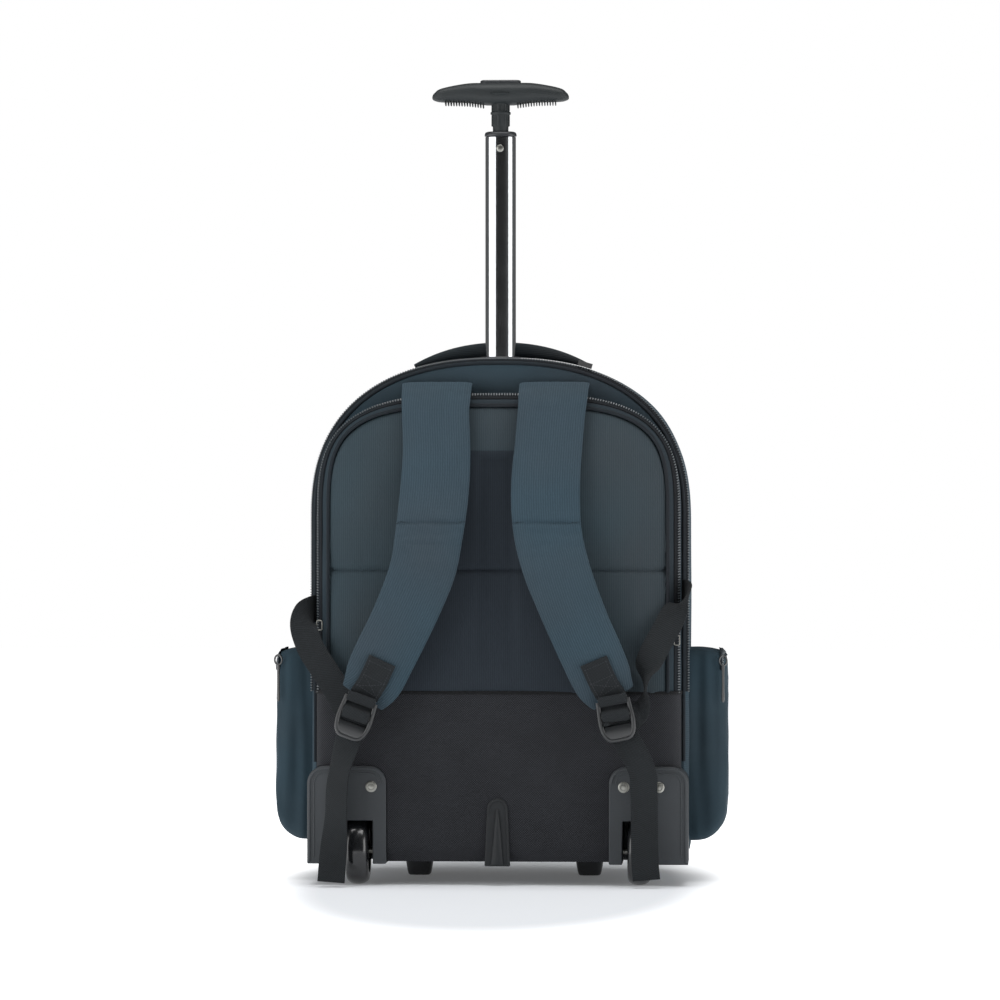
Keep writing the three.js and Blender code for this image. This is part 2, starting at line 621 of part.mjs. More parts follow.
function addPullHandle() {
  const outerTube = toSolid(ovalPrism(
    OUTER_TUBE_WIDTH, OUTER_TUBE_DEPTH, TUBE_FOOT, BEZEL_TOP - BEZEL_HEIGHT - SEAT_GAP, POLE_AT,
  ));
  const outerBore = ovalPrism(
    OUTER_TUBE_WIDTH - 2 * POLE_WALL, OUTER_TUBE_DEPTH - 2 * POLE_WALL, 0, BEZEL_TOP, POLE_AT,
  );
  addPiece('pole_outer_tube', toGeometry(outerTube.subtract(toSolid(outerBore))), chrome);

  const bezel = toSolid(ovalPrism(BEZEL_WIDTH, BEZEL_DEPTH, BEZEL_TOP - BEZEL_HEIGHT, BEZEL_TOP, POLE_AT));
  const throat = ovalPrism(
    POLE_WIDTH + 2 * POLE_CLEARANCE, POLE_DEPTH + 2 * POLE_CLEARANCE, 0, BEZEL_TOP + FAR, POLE_AT,
  );
  addPiece('pole_bezel', toGeometry(bezel.subtract(toSolid(throat))), blackPlastic);

  const innerLow = BEZEL_TOP - POLE_OVERLAP - BEZEL_HEIGHT;
  const inner = toSolid(ovalPrism(POLE_WIDTH, POLE_DEPTH, innerLow, POLE_TOP, POLE_AT));
  const innerBore = ovalPrism(POLE_WIDTH - 2 * POLE_WALL, POLE_DEPTH - 2 * POLE_WALL, 0, POLE_TOP + FAR, POLE_AT);
  addPiece('pole_inner_tube', toGeometry(inner.subtract(toSolid(innerBore))), chrome);

  const collarLow = POLE_TOP + SEAT_GAP;
  const collarTop = collarLow + COLLAR_HEIGHT;
  const collar = toSolid(ovalPrism(POLE_WIDTH + 1.5, POLE_DEPTH + 1.5, collarLow, collarTop, POLE_AT));
  const collarHole = cylinderAlong('z', NECK_PROFILE[0].out * NECK_RADIUS + SEAT_GAP, FAR, [0, POLE_AT, collarTop], ROUND_SIDES);
  addPiece('pole_collar', toGeometry(collar.subtract(toSolid(collarHole))), blackPlastic);

  const pinHeight = POLE_TOP - PIN_DROP;
  const pinAt = POLE_AT - POLE_DEPTH / 2 - SEAT_GAP - PIPING_RADIUS / 2;
  addPiece('pole_pin', cylinderAlong('y', PIN_RADIUS, PIPING_RADIUS, [0, pinAt, pinHeight]), nickel);
}

// Sections of the grip along its length: share of the half width against shares of its height and depth.
const GRIP_SECTIONS = [
  { along: 1.0, lift: -0.05, high: 0.14, deep: 0.3 },
  { along: 0.97, lift: -0.04, high: 0.34, deep: 0.55 },
  { along: 0.86, lift: 0.0, high: 0.62, deep: 0.78 },
  { along: 0.5, lift: 0.06, high: 0.86, deep: 0.95 },
  { along: 0.2, lift: 0.0, high: 1.0, deep: 1.0 },
];
// The neck turned under the grip, from inside the tube up: share of its height against share of its radius.
const NECK_PROFILE = [
  { up: 0.0, out: 0.9 }, { up: 0.42, out: 0.9 }, { up: 0.44, out: 1.0 }, { up: 0.62, out: 1.0 },
  { up: 0.64, out: 1.14 }, { up: 0.68, out: 1.14 }, { up: 0.7, out: 1.0 }, { up: 0.84, out: 1.05 },
  { up: 0.92, out: 1.5 }, { up: 1.0, out: 2.1 },
];
const GRIP_MIDDLE = GRIP_TOP - GRIP_HEIGHT / 2;
const NECK_LOW = POLE_TOP - COLLAR_HEIGHT * 3;

function addGrip() {
  const ringAt = (row, side) => Array.from({ length: 14 }, (_, k) => {
    const angle = (2 * Math.PI * k) / 14;
    const x = (side * row.along * GRIP_WIDTH) / 2;
    const y = POLE_AT + (row.deep * GRIP_DEPTH * Math.sign(Math.cos(angle)) * Math.abs(Math.cos(angle)) ** 0.7) / 2;
    const rise = Math.sign(Math.sin(angle)) * Math.abs(Math.sin(angle)) ** 0.7;
    const z = GRIP_MIDDLE + GRIP_HEIGHT * (row.lift + (row.high * rise) / 2 - 0.12 * (1 - row.high));
    return new THREE.Vector3(x, y, z);
  });
  const left = GRIP_SECTIONS.map((row) => ringAt(row, -1));
  const right = GRIP_SECTIONS.map((row) => ringAt(row, 1)).reverse();
  const bar = toSolid(skin([...left, ...right]));

  const neckHeight = GRIP_MIDDLE - NECK_LOW;
  const profile = NECK_PROFILE.map((row) => new THREE.Vector2(row.out * NECK_RADIUS, row.up * neckHeight));
  const closed = [new THREE.Vector2(0, 0), ...profile, new THREE.Vector2(0, neckHeight)];
  const neck = new THREE.LatheGeometry(closed, ROUND_SIDES).rotateX(Math.PI / 2).translate(0, POLE_AT, NECK_LOW);

  const buttonTop = GRIP_TOP + BUTTON_PROUD;
  const buttonLow = buttonTop - BUTTON_HEIGHT;
  const pocket = ovalBlock(BUTTON_LENGTH, BUTTON_DEPTH, buttonLow - BUTTON_TRAVEL - SEAT_GAP, GRIP_TOP + FAR, BUTTON_CLEARANCE);
  addPiece('grip', toGeometry(bar.add(toSolid(neck)).subtract(toSolid(pocket))), blackPlastic);
  addPiece('grip_button', ovalBlock(BUTTON_LENGTH, BUTTON_DEPTH, buttonLow, buttonTop, 0), blackPlastic);
}

// A block with round ends, standing over the pole's axis.
function ovalBlock(length, depth, low, high, spare) {
  const radius = depth / 2 + spare;
  const reach = length / 2 - depth / 2;
  const outline = new THREE.Shape();
  outline.absarc(reach, 0, radius, -Math.PI / 2, Math.PI / 2);
  outline.absarc(-reach, 0, radius, Math.PI / 2, (3 * Math.PI) / 2);
  const geometry = new THREE.ExtrudeGeometry(outline, { depth: high - low, bevelEnabled: false, curveSegments: 6 });
  return geometry.translate(0, POLE_AT, low);
}

// Carry handle: a padded crescent over the bag's top, thickest in its middle and sewn down at both ends
function addCarryHandle() {
  const steps = 14;
  const rings = Array.from({ length: steps + 1 }, (_, i) => {
    const share = (2 * i) / steps - 1;
    const x = share * CARRY_HALF_SPAN;
    const surface = archHeight(mainArch, x, MAIN_SWELL) + 2 * SEAT_GAP;
    const slope = (archHeight(mainArch, x + 1, MAIN_SWELL) - archHeight(mainArch, x - 1, MAIN_SWELL)) / 2;
    const up = new THREE.Vector2(-slope, 1).normalize();
    const half = (CARRY_THICKNESS / 2) * mix(CARRY_END, 1, 1 - share ** 2);
    const middle = surface + half;
    return [[-1, -0.6], [-0.8, -1], [0.8, -1], [1, -0.6], [1, 0.6], [0.8, 1], [-0.8, 1], [-1, 0.6]].map(([a, b]) => (
      new THREE.Vector3(x + up.x * b * half, CARRY_AT + (a * CARRY_WIDTH) / 2, middle + up.y * b * half)
    ));
  });
  addPiece('carry_handle', skin(rings), webbingCloth);
}

// Wheels turn about X on axles held in the housings' cheeks
const WELL_OUTER = WELL_WIDTH + 2 * WELL_WALL;

function addWheel(side, label) {
  const x = side * WHEEL_AT_X;
  const front = HOUSING_DEPTH - HOUSING_PROUD;
  const outside = toSolid(slab(housingOutline(side), -HOUSING_PROUD, front));
  const hollowLow = [side > 0 ? HOUSING_INNER_X - FAR : -HOUSING_OUTER_X + HOUSING_WALL, -HOUSING_PROUD + HOUSING_WALL, HOUSING_BOTTOM + HOUSING_WALL];
  const hollowHigh = [side > 0 ? HOUSING_OUTER_X - HOUSING_WALL : -HOUSING_INNER_X + FAR, front + FAR, HOUSING_TOP + FAR];
  const wellLow = [x - WELL_OUTER / 2, -HOUSING_PROUD + HOUSING_WALL / 2, HOUSING_BOTTOM + HOUSING_WALL / 2];
  const wellHigh = [x + WELL_OUTER / 2, WHEEL_AT_Y + WHEEL_RADIUS + WELL_CLEARANCE + WELL_WALL, 2 * WHEEL_RADIUS + WELL_CLEARANCE + WELL_WALL];
  const roomLow = [x - WELL_WIDTH / 2, -HOUSING_PROUD + HOUSING_WALL, -FAR];
  const roomHigh = [x + WELL_WIDTH / 2, WHEEL_AT_Y + WHEEL_RADIUS + WELL_CLEARANCE, 2 * WHEEL_RADIUS + WELL_CLEARANCE];
  const mouthLow = [x - WELL_WIDTH / 2, -FAR, -FAR];
  const mouthHigh = [x + WELL_WIDTH / 2, 0, WELL_TOP];
  const bore = cylinderAlong('x', AXLE_RADIUS + AXLE_CLEARANCE, WELL_OUTER + FAR / 4, [x, WHEEL_AT_Y, WHEEL_RADIUS]);
  const housing = outside
    .subtract(toSolid(block(hollowLow, hollowHigh)))
    .add(toSolid(block(wellLow, wellHigh)))
    .subtract(toSolid(block(roomLow, roomHigh)))
    .subtract(toSolid(block(mouthLow, mouthHigh)))
    .subtract(toSolid(bore));
  addPiece(`wheel_housing_${label}`, toGeometry(housing), mattePlastic);

  const [pin, shoulder] = [AXLE_RADIUS, SPACER_RADIUS];
  const [inner, wall, end] = [WHEEL_WIDTH / 2 + SEAT_GAP, WELL_WIDTH / 2 - SEAT_GAP, WELL_OUTER / 2];
  const axleOutline = [[0, -end], [pin, -end], [pin, -wall], [shoulder, -wall], [shoulder, -inner], [pin, -inner]];
  const mirrored = axleOutline.map(([r, along]) => [r, -along]).reverse();
  const axlePoints = [...axleOutline, ...mirrored].map(([r, along]) => new THREE.Vector2(r, along));
  addPiece(`axle_${label}`, turnedAboutX(axlePoints, PIN_SIDES, x), nickel);

  const tread = WHEEL_RADIUS / Math.cos(Math.PI / ROUND_SIDES);
  const half = WHEEL_WIDTH / 2;
  const crown = TYRE_PROFILE.map((row) => new THREE.Vector2(mix(RIM_RADIUS, tread, row.out), row.across * half));
  const tyrePoints = [...crown, ...crown.map((p) => new THREE.Vector2(p.x, -p.y)).reverse(), crown[0]];
  addPiece(`tyre_${label}`, turnedAboutX(tyrePoints, ROUND_SIDES, x), rubber);

  const rim = RIM_RADIUS - SEAT_GAP / Math.cos(Math.PI / ROUND_SIDES);
  const web = HUB_WEB;
  const bored = AXLE_RADIUS + AXLE_CLEARANCE;
  const [edge, boss] = [HUB_WIDTH / 2, BOSS_RADIUS];
  const hubPoints = [
    [bored, -half], [boss, -half], [boss, -web], [rim - HUB_RIM, -web], [rim - HUB_RIM, -edge], [rim, -edge],
    [rim, edge], [rim - HUB_RIM, edge], [rim - HUB_RIM, web], [boss, web], [boss, half], [bored, half], [bored, -half],
  ].map(([r, along]) => new THREE.Vector2(r, along));
  addPiece(`hub_${label}`, turnedAboutX(hubPoints, ROUND_SIDES, x), blackPlastic);

  for (const [place, offset] of [['inner', 0], ['outer', SCREW_SPACING]]) {
    const at = [side * (HOUSING_INNER_X + SCREW_INSET + offset), -HOUSING_PROUD - SEAT_GAP - SCREW_PROUD / 2, SCREW_HEIGHT];
    addPiece(`housing_screw_${label}_${place}`, cylinderAlong('y', SCREW_RADIUS, SCREW_PROUD, at), nickel);
  }
}

// A turned profile (radius, place along the axle), spun about X with a flat facet at the bottom.
function turnedAboutX(points, sides, x) {
  const geometry = new THREE.LatheGeometry(points, sides, Math.PI / sides);
  return facingOut(joined(geometry.rotateZ(-Math.PI / 2).translate(x, WHEEL_AT_Y, WHEEL_RADIUS)));
}

function joined(geometry) {
  geometry.deleteAttribute('normal');
  geometry.deleteAttribute('uv');
  return mergeVertices(geometry, 1e-4);
}

function addBase() {
  const half = KICK_WIDTH / 2;
  const arch = (width, top, shoulder) => {
    const shape = [new THREE.Vector2(-width, KICK_BOTTOM), new THREE.Vector2(width, KICK_BOTTOM)];
    for (let i = 0; i <= 8; i += 1) {
      const angle = (Math.PI * i) / 8;
      const share = mix(shoulder, 1, Math.sin(angle) ** KICK_ROUNDING);
      shape.push(new THREE.Vector2(width * KICK_TAPER * Math.cos(angle), mix(KICK_BOTTOM, top, share)));
    }
    return shape;
  };
  const face = -CLOTH / 2 - SEAT_GAP;
  const plate = slab(arch(half, KICK_TOP, KICK_SHOULDER), face - KICK_THICKNESS, face);
  const ridge = slab(arch(KICK_RIDGE_WIDTH / 2, KICK_TOP - half, KICK_RIDGE_SHOULDER), face - KICK_THICKNESS - KICK_RIDGE, face - 1);
  addPiece('kick_plate', toGeometry(toSolid(plate).add(toSolid(ridge))), mattePlastic);

  for (const [side, label] of [[-1, 'left'], [1, 'right']]) {
    const high = BAG_BOTTOM - SEAT_GAP;
    const foot = [0, 0.2, 1].map((share) => {
      const reach = FOOT_WIDTH / 2 - FOOT_TAPER * (1 - share) - (share === 0 ? 1 : 0);
      return [[-1, -0.7], [-0.7, -1], [0.7, -1], [1, -0.7], [1, 0.7], [0.7, 1], [-0.7, 1], [-1, 0.7]].map(([a, b]) => (
        new THREE.Vector3(side * FOOT_AT_X + a * reach, FOOT_AT_Y + b * reach, share * high)
      ));
    });
    addPiece(`front_foot_${label}`, skin(foot), blackPlastic);
  }
}

// Shoulder straps: padded, sewn in over the rear compartment and hanging clear of the back panel
const STRAP_SEAM = REAR_OUTER_TOP + STRAP_SEAT;

function strapPoint(row, label) {
  const side = label === 'left' ? -1 : 1;
  return new THREE.Vector3(
    side * row[label] * STRAP_SPREAD,
    row.back * (REAR_DEPTH - 3 * SEAT_GAP) - row.out * STRAP_STAND_OFF,
    STRAP_SEAM - row.down * STRAP_DROP,
  );
}

// Each row of a strap as a point with its direction down the strap, across it and out of its face.
function strapFrames(label) {
  const points = STRAP_ROWS.map((row) => strapPoint(row, label));
  return STRAP_ROWS.map((row, i) => {
    const before = points[Math.max(i - 1, 0)];
    const after = points[Math.min(i + 1, points.length - 1)];
    const along = after.clone().sub(before).normalize();
    const across = new THREE.Vector3(1, 0, 0).addScaledVector(along, -along.x).normalize();
    const out = new THREE.Vector3().crossVectors(along, across).normalize();
    return { down: row.down, point: points[i], across, out, wide: row.wide * STRAP_WIDTH, thick: row.thick * STRAP_THICKNESS };
  });
}

function frameAt(frames, down) {
  const next = frames.findIndex((frame) => frame.down >= down);
  const [low, high] = [frames[next - 1], frames[next]];
  const share = (down - low.down) / (high.down - low.down);
  return {
    point: low.point.clone().lerp(high.point, share),
    across: low.across.clone().lerp(high.across, share).normalize(),
    out: low.out.clone().lerp(high.out, share).normalize(),
    thick: mix(low.thick, high.thick, share),
  };
}

function crossSection(frame, wide, thick, round) {
  const corners = [[-1, -round], [-round, -1], [round, -1], [1, -round], [1, round], [round, 1], [-round, 1], [-1, round]];
  return corners.map(([a, b]) => frame.point.clone()
    .addScaledVector(frame.across, (a * wide) / 2)
    .addScaledVector(frame.out, (b * thick) / 2));
}

function addStrap(label) {
  const frames = strapFrames(label);
  const rings = frames.map((frame) => {
    const edge = Math.max(1 - frame.thick / frame.wide, 0);
    const corners = [[-1, -0.3], [-edge, -1], [edge, -1], [1, -0.3], [1, 0.3], [edge, 1], [-edge, 1], [-1, 0.3]];
    return corners.map(([a, b]) => frame.point.clone()
      .addScaledVector(frame.across, (a * frame.wide) / 2)
      .addScaledVector(frame.out, (b * frame.thick) / 2));
  });
  addPiece(`shoulder_strap_${label}`, skin(rings), fabric);
  addPiece(`strap_tab_${label}`, skin(tabRings(label)), webbingCloth);
}

// The webbing tab that is stitched on the face of a strap's lower end.
function tabRings(label) {
  const frames = strapFrames(label);
  return TAB_SPAN.map((down) => {
    const frame = frameAt(frames, down);
    frame.point.addScaledVector(frame.out, frame.thick / 2 + 2 * SEAT_GAP + WEBBING_THICKNESS / 2);
    return crossSection(frame, TAB_WIDTH, WEBBING_THICKNESS, 0.9);
  });
}

// Ladder lock buckles, with webbing round their bars. Each hangs from its tab's end, turned in the plane of the back.
const BUCKLES = {
  left: { lean: 20 },
  right: { lean: -11 },
};

function addBuckle(label) {
  const [half, tall] = [BUCKLE_WIDTH / 2, BUCKLE_HEIGHT / 2];
  const outline = new THREE.Shape();
  outline.moveTo(-half * 0.94, tall);
  outline.lineTo(-half, -tall * 0.3);
  outline.quadraticCurveTo(-half * 0.9, -tall * 0.75, -half * 0.4, -tall);
  outline.lineTo(half * 0.4, -tall);
  outline.quadraticCurveTo(half * 0.9, -tall * 0.75, half, -tall * 0.3);
  outline.lineTo(half * 0.94, tall);
  const inside = half - BUCKLE_RAIL;
  const slots = [[tall * 0.3, tall - BUCKLE_BAR, inside], [-tall * 0.3, tall * 0.3 - BUCKLE_BAR, inside * 0.93]];
  for (const [low, high, reach] of slots) {
    const slot = new THREE.Path();
    slot.moveTo(-reach * 0.97, low);
    slot.lineTo(-reach, high);
    slot.lineTo(reach, high);
    slot.lineTo(reach * 0.97, low);
    outline.holes.push(slot);
  }
  const geometry = new THREE.ExtrudeGeometry(outline, { depth: BUCKLE_THICKNESS, bevelEnabled: false, curveSegments: 4 });
  const spot = BUCKLES[label];
  const tabEnd = tabRings(label).at(-1);
  const middle = tabEnd.reduce((sum, p) => sum.add(p), new THREE.Vector3()).divideScalar(tabEnd.length);
  const back = Math.min(...tabEnd.map((p) => p.y)) - SEAT_GAP;
  const lock = toGeometry(toSolid(geometry)).rotateX(Math.PI / 2).translate(0, 0, -tall);
  lock.rotateY(THREE.MathUtils.degToRad(spot.lean));
  lock.translate(middle.x, back, middle.z);
  addPiece(`ladder_lock_${label}`, lock, blackPlastic);
}

// Webbing laid as flat strips: each row is a point with the direction across the strip there.
const LOWER_WEBBING = {
  left: [
    { at: [-178.8, 24, 268], across: [0, 0, 1] },
    { at: [-182.5, 14, 267], across: [-0.1, 0, 1] },
    { at: [-188, 3, 262], across: [-0.5, 0.05, 0.85] },
    { at: [-188, -7, 250], across: [-0.93, 0, 0.36] },
    { at: [-180.5, -12, 230], across: [-0.95, 0, -0.3] },
    { at: [-167, -14, 209], across: [-0.87, 0, -0.49] },
    { at: [-155, -15, 190], across: [-0.83, 0, -0.56] },
    { at: [-146, -20, 174], across: [-0.83, 0, -0.56] },
    { at: [-140, -26, 166], across: [-0.83, 0, -0.56] },
    { at: [-136, -29.9, 159], across: [-0.83, 0, -0.56] },
  ],
  right: [
    { at: [178.8, 24, 284], across: [0, 0, 1] },
    { at: [182.5, 13, 283], across: [0.1, -0.1, 1] },
    { at: [184, 3, 281], across: [0.3, -0.3, 0.85] },
    { at: [179.5, -7, 276], across: [0.6, -0.4, 0.6] },
    { at: [172, -11, 266], across: [0.9, -0.3, -0.1] },
    { at: [164, -14, 250], across: [0.8, -0.1, -0.6] },
    { at: [154, -16, 232], across: [0.82, 0, -0.57] },
    { at: [146.5, -18, 216], across: [0.8, -0.35, -0.4] },
    { at: [144, -19, 202], across: [0.3, -0.95, -0.1] },
    { at: [143.5, -19, 189], across: [0.1, -1, 0] },
    { at: [140, -22, 178], across: [0.5, -0.7, -0.1] },
    { at: [134, -26, 170], across: [0.9, -0.1, -0.55] },
    { at: [127, -29.9, 162], across: [0.75, 0, -0.66] },
  ],
};
const FREE_END = {
  left: [
    { at: [-143.5, -29.9, 147], across: [0.946, 0, -0.324] },
    { at: [-150, -28, 118], across: [0.78, -0.6, -0.15] },
    { at: [-153.8, -27, 96], across: [0.82, -0.57, 0] },
    { at: [-155, -27, 64], across: [0.85, -0.5, 0] },
    { at: [-158, -28, 26], across: [1, 0, 0.05] },
    { at: [-159.5, -29, 5], across: [1, 0, 0.02] },
  ],
  right: [
    { at: [126, -29.9, 145], across: [0.985, 0, 0.17] },
    { at: [139.5, -28, 117], across: [1, 0, 0.05] },
    { at: [142.5, -27, 92], across: [0.96, 0.2, 0] },
    { at: [143, -27, 60], across: [0.96, 0.2, 0] },
    { at: [143.5, -27.5, 27], across: [1, 0, 0.1] },
    { at: [145, -28, 8], across: [0.96, 0, 0.28] },
  ],
};

function ribbon(rows) {
  const frames = rows.map((row, i) => {
    const point = new THREE.Vector3(...row.at);
    const before = new THREE.Vector3(...rows[Math.max(i - 1, 0)].at);
    const after = new THREE.Vector3(...rows[Math.min(i + 1, rows.length - 1)].at);
    const along = after.sub(before).normalize();
    const across = new THREE.Vector3(...row.across);
    across.addScaledVector(along, -across.dot(along)).normalize();
    return { point, across, out: new THREE.Vector3().crossVectors(across, along).normalize() };
  });
  return skin(frames.map((frame) => crossSection(frame, WEBBING_WIDTH, WEBBING_THICKNESS, 0.9)));
}

function addPullers() {
  const seat = mix(REAR_FROM, REAR_TO, LAPTOP_ZIP.start) - PULLER_WIRE - SEAT_GAP;
  const across = REAR_HALF_WIDTH + LAPTOP_PULLER.swell * REAR_SWELL;
  for (const [side, height] of [[-1, LAPTOP_PULLER.left], [1, LAPTOP_PULLER.right]]) {
    const label = side < 0 ? 'left' : 'right';
    const drop = puller(PULLER_WIRE * 2).scale(LAPTOP_PULLER.size, 1, LAPTOP_PULLER.size);
    addPiece(`laptop_puller_${label}`, drop.translate(side * across, seat, height), nickel);
  }
  const onZip = MAIN_PROFILE[1].swell * MAIN_SWELL + ZIP_THICKNESS + 2 * SEAT_GAP;
  const [here, next] = [0, 1].map((step) => archHeight(mainArch, SLIDER_AT_X + step, onZip));
  const [near, far] = [MAIN_FROM + CLOTH, MAIN_FROM + CLOTH + SLIDER_DEPTH];
  const slider = block([-SLIDER_LENGTH / 2, near, 0], [SLIDER_LENGTH / 2, far, SLIDER_HEIGHT]);
  slider.rotateY(Math.atan(here - next)).translate(SLIDER_AT_X, 0, here);
  addPiece('main_puller', slider, nickel);
}

addRearCompartment();
addMainCompartment();
for (const [side, label] of [[-1, 'left'], [1, 'right']]) {
  addSidePocket(side, label);
  addWheel(side, label);
  addStrap(label);
  addBuckle(label);
  addPiece(`lower_webbing_${label}`, ribbon(LOWER_WEBBING[label]), webbingCloth);
  addPiece(`free_end_${label}`, ribbon(FREE_END[label]), webbingCloth);
}
addPullHandle();
addGrip();
addCarryHandle();
addBase();
addPullers();

// The origin moves under the middle of the bounding box.
const bounds = new THREE.Box3().setFromObject(bag);
bag.position.y = -(bounds.min.y + bounds.max.y) / 2;

export default bag;
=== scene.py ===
# A wheeled backpack on its wheels and front feet, with its pull handle drawn out. Metres, +Z up.
import json
import math

import bmesh
import bpy
from mathutils import Matrix, Vector, noise

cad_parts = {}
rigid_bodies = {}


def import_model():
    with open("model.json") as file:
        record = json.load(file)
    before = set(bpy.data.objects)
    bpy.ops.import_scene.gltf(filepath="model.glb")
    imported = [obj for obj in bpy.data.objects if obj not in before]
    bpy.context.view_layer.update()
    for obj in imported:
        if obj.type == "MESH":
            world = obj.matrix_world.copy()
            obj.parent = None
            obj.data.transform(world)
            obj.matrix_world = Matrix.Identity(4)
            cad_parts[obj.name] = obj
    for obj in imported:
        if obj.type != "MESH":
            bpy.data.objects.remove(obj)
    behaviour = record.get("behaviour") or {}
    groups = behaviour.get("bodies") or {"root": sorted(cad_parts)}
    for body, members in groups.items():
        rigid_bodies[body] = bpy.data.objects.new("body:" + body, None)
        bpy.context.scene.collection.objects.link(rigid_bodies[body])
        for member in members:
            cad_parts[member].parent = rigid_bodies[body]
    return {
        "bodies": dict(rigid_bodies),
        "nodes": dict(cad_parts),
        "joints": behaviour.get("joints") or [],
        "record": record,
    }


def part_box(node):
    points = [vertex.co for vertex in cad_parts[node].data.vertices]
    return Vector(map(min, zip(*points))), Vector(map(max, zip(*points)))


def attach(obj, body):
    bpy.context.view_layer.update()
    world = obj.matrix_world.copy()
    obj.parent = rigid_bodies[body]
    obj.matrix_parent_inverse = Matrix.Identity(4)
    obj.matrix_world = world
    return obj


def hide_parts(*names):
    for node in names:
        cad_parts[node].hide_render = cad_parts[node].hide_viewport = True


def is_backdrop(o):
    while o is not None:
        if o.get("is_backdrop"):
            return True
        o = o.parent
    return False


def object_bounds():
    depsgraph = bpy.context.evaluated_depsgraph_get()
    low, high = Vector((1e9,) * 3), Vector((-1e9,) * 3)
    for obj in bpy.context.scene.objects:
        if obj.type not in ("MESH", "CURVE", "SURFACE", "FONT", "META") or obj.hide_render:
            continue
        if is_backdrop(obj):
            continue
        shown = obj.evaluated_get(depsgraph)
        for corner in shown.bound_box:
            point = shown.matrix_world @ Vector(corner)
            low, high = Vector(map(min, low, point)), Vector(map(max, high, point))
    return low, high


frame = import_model()
cad_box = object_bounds()

# View and studio: a level view from just right of square to the back panel, through a long lens. A wide soft
# box stands to the left of the lens and a narrow one to its right, and one hangs overhead. The wall behind is
# lit to white, and the floor glows white by its own emission: painted light, faint near the bag so that the
# bag's shadow fades out into white.
PANEL_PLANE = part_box("base_panel")[0].y + 0.001
VIEW_WIDTH = 0.97
VIEW_DISTANCE = 4.5
VIEW_TURN = math.radians(3)
VIEW_CENTRE = Vector((0.0024, PANEL_PLANE, 0.3741))
FLOOR_SIZE = 14.0
WALL_LIGHT = 1.0
ROOM_LIGHT = 0.13
LENS_SIDE_LIGHT = 0.025
# The floor's own emission is painted light: faint within FLOOR_NEAR of the bag, full white past FLOOR_FAR.
FLOOR_NEAR = 0.165
FLOOR_FAR = 0.25
FLOOR_PAINTED_GLOW = 0.09
FLOOR_REACH = (1.0, 0.4, 1.0)


def softbox(name, place, aim, width, height, power):
    data = bpy.data.lights.new(name, "AREA")
    data.shape = "RECTANGLE"
    data.size = width
    data.size_y = height
    data.energy = power
    light = bpy.data.objects.new(name, data)
    bpy.context.collection.objects.link(light)
    light.location = place
    light.rotation_euler = (Vector(aim) - Vector(place)).to_track_quat("-Z", "Y").to_euler()
    return light


view = bpy.data.cameras.new("view")
view.lens = view.sensor_width * VIEW_DISTANCE / VIEW_WIDTH
camera = bpy.data.objects.new("view", view)
bpy.context.collection.objects.link(camera)
camera.location = VIEW_CENTRE + VIEW_DISTANCE * Vector((math.sin(VIEW_TURN), -math.cos(VIEW_TURN), 0))
camera.rotation_euler = (math.pi / 2, 0, VIEW_TURN)
bpy.context.scene.camera = camera
bpy.context.scene.view_settings.view_transform = "Standard"

softbox("left_box", (-2.1, -1.55, 0.8), (0, 0, 0.35), 2.5, 1.9, 35)
softbox("right_box", (2.35, -1.15, 0.8), (0, 0, 0.35), 1.4, 1.9, 25)
softbox("top_box", (0, -0.45, 2.3), (0, 0, 0), 2.2, 1.2, 36)

world = bpy.data.worlds.new("studio")
world.use_nodes = True
bpy.context.scene.world = world
wall = world.node_tree.nodes["Background"]
seen = world.node_tree.nodes.new("ShaderNodeLightPath")
level = world.node_tree.nodes.new("ShaderNodeMapRange")
level.inputs["To Max"].default_value = WALL_LIGHT
toward = world.node_tree.nodes.new("ShaderNodeTexCoord")
split = world.node_tree.nodes.new("ShaderNodeSeparateXYZ")
dim = world.node_tree.nodes.new("ShaderNodeMapRange")
dim_levels = {"From Min": -0.95, "From Max": -0.6, "To Min": LENS_SIDE_LIGHT, "To Max": ROOM_LIGHT}
for socket, value in dim_levels.items():
    dim.inputs[socket].default_value = value
world.node_tree.links.new(toward.outputs["Generated"], split.inputs[0])
world.node_tree.links.new(split.outputs["Y"], dim.inputs["Value"])
world.node_tree.links.new(dim.outputs["Result"], level.inputs["To Min"])
world.node_tree.links.new(seen.outputs["Is Camera Ray"], level.inputs["Value"])
world.node_tree.links.new(level.outputs["Result"], wall.inputs["Strength"])
wall.inputs["Color"].default_value = (1, 1, 1, 1)

floor_mesh = bpy.data.meshes.new("floor")
corners = [(x * FLOOR_SIZE / 2, y * FLOOR_SIZE / 2, 0) for x, y in ((-1, -1), (1, -1), (1, 1), (-1, 1))]
floor_mesh.from_pydata(corners, [], [(0, 1, 2, 3)])
floor = bpy.data.objects.new("floor", floor_mesh)
bpy.context.collection.objects.link(floor)
pale = bpy.data.materials.new("pale_floor")
pale.use_nodes = True
paint = pale.node_tree.nodes["Principled BSDF"]
paint.inputs["Base Color"].default_value = (0.86, 0.885, 0.92, 1)
paint.inputs["Roughness"].default_value = 0.6
paint.inputs["Specular IOR Level"].default_value = 0.2
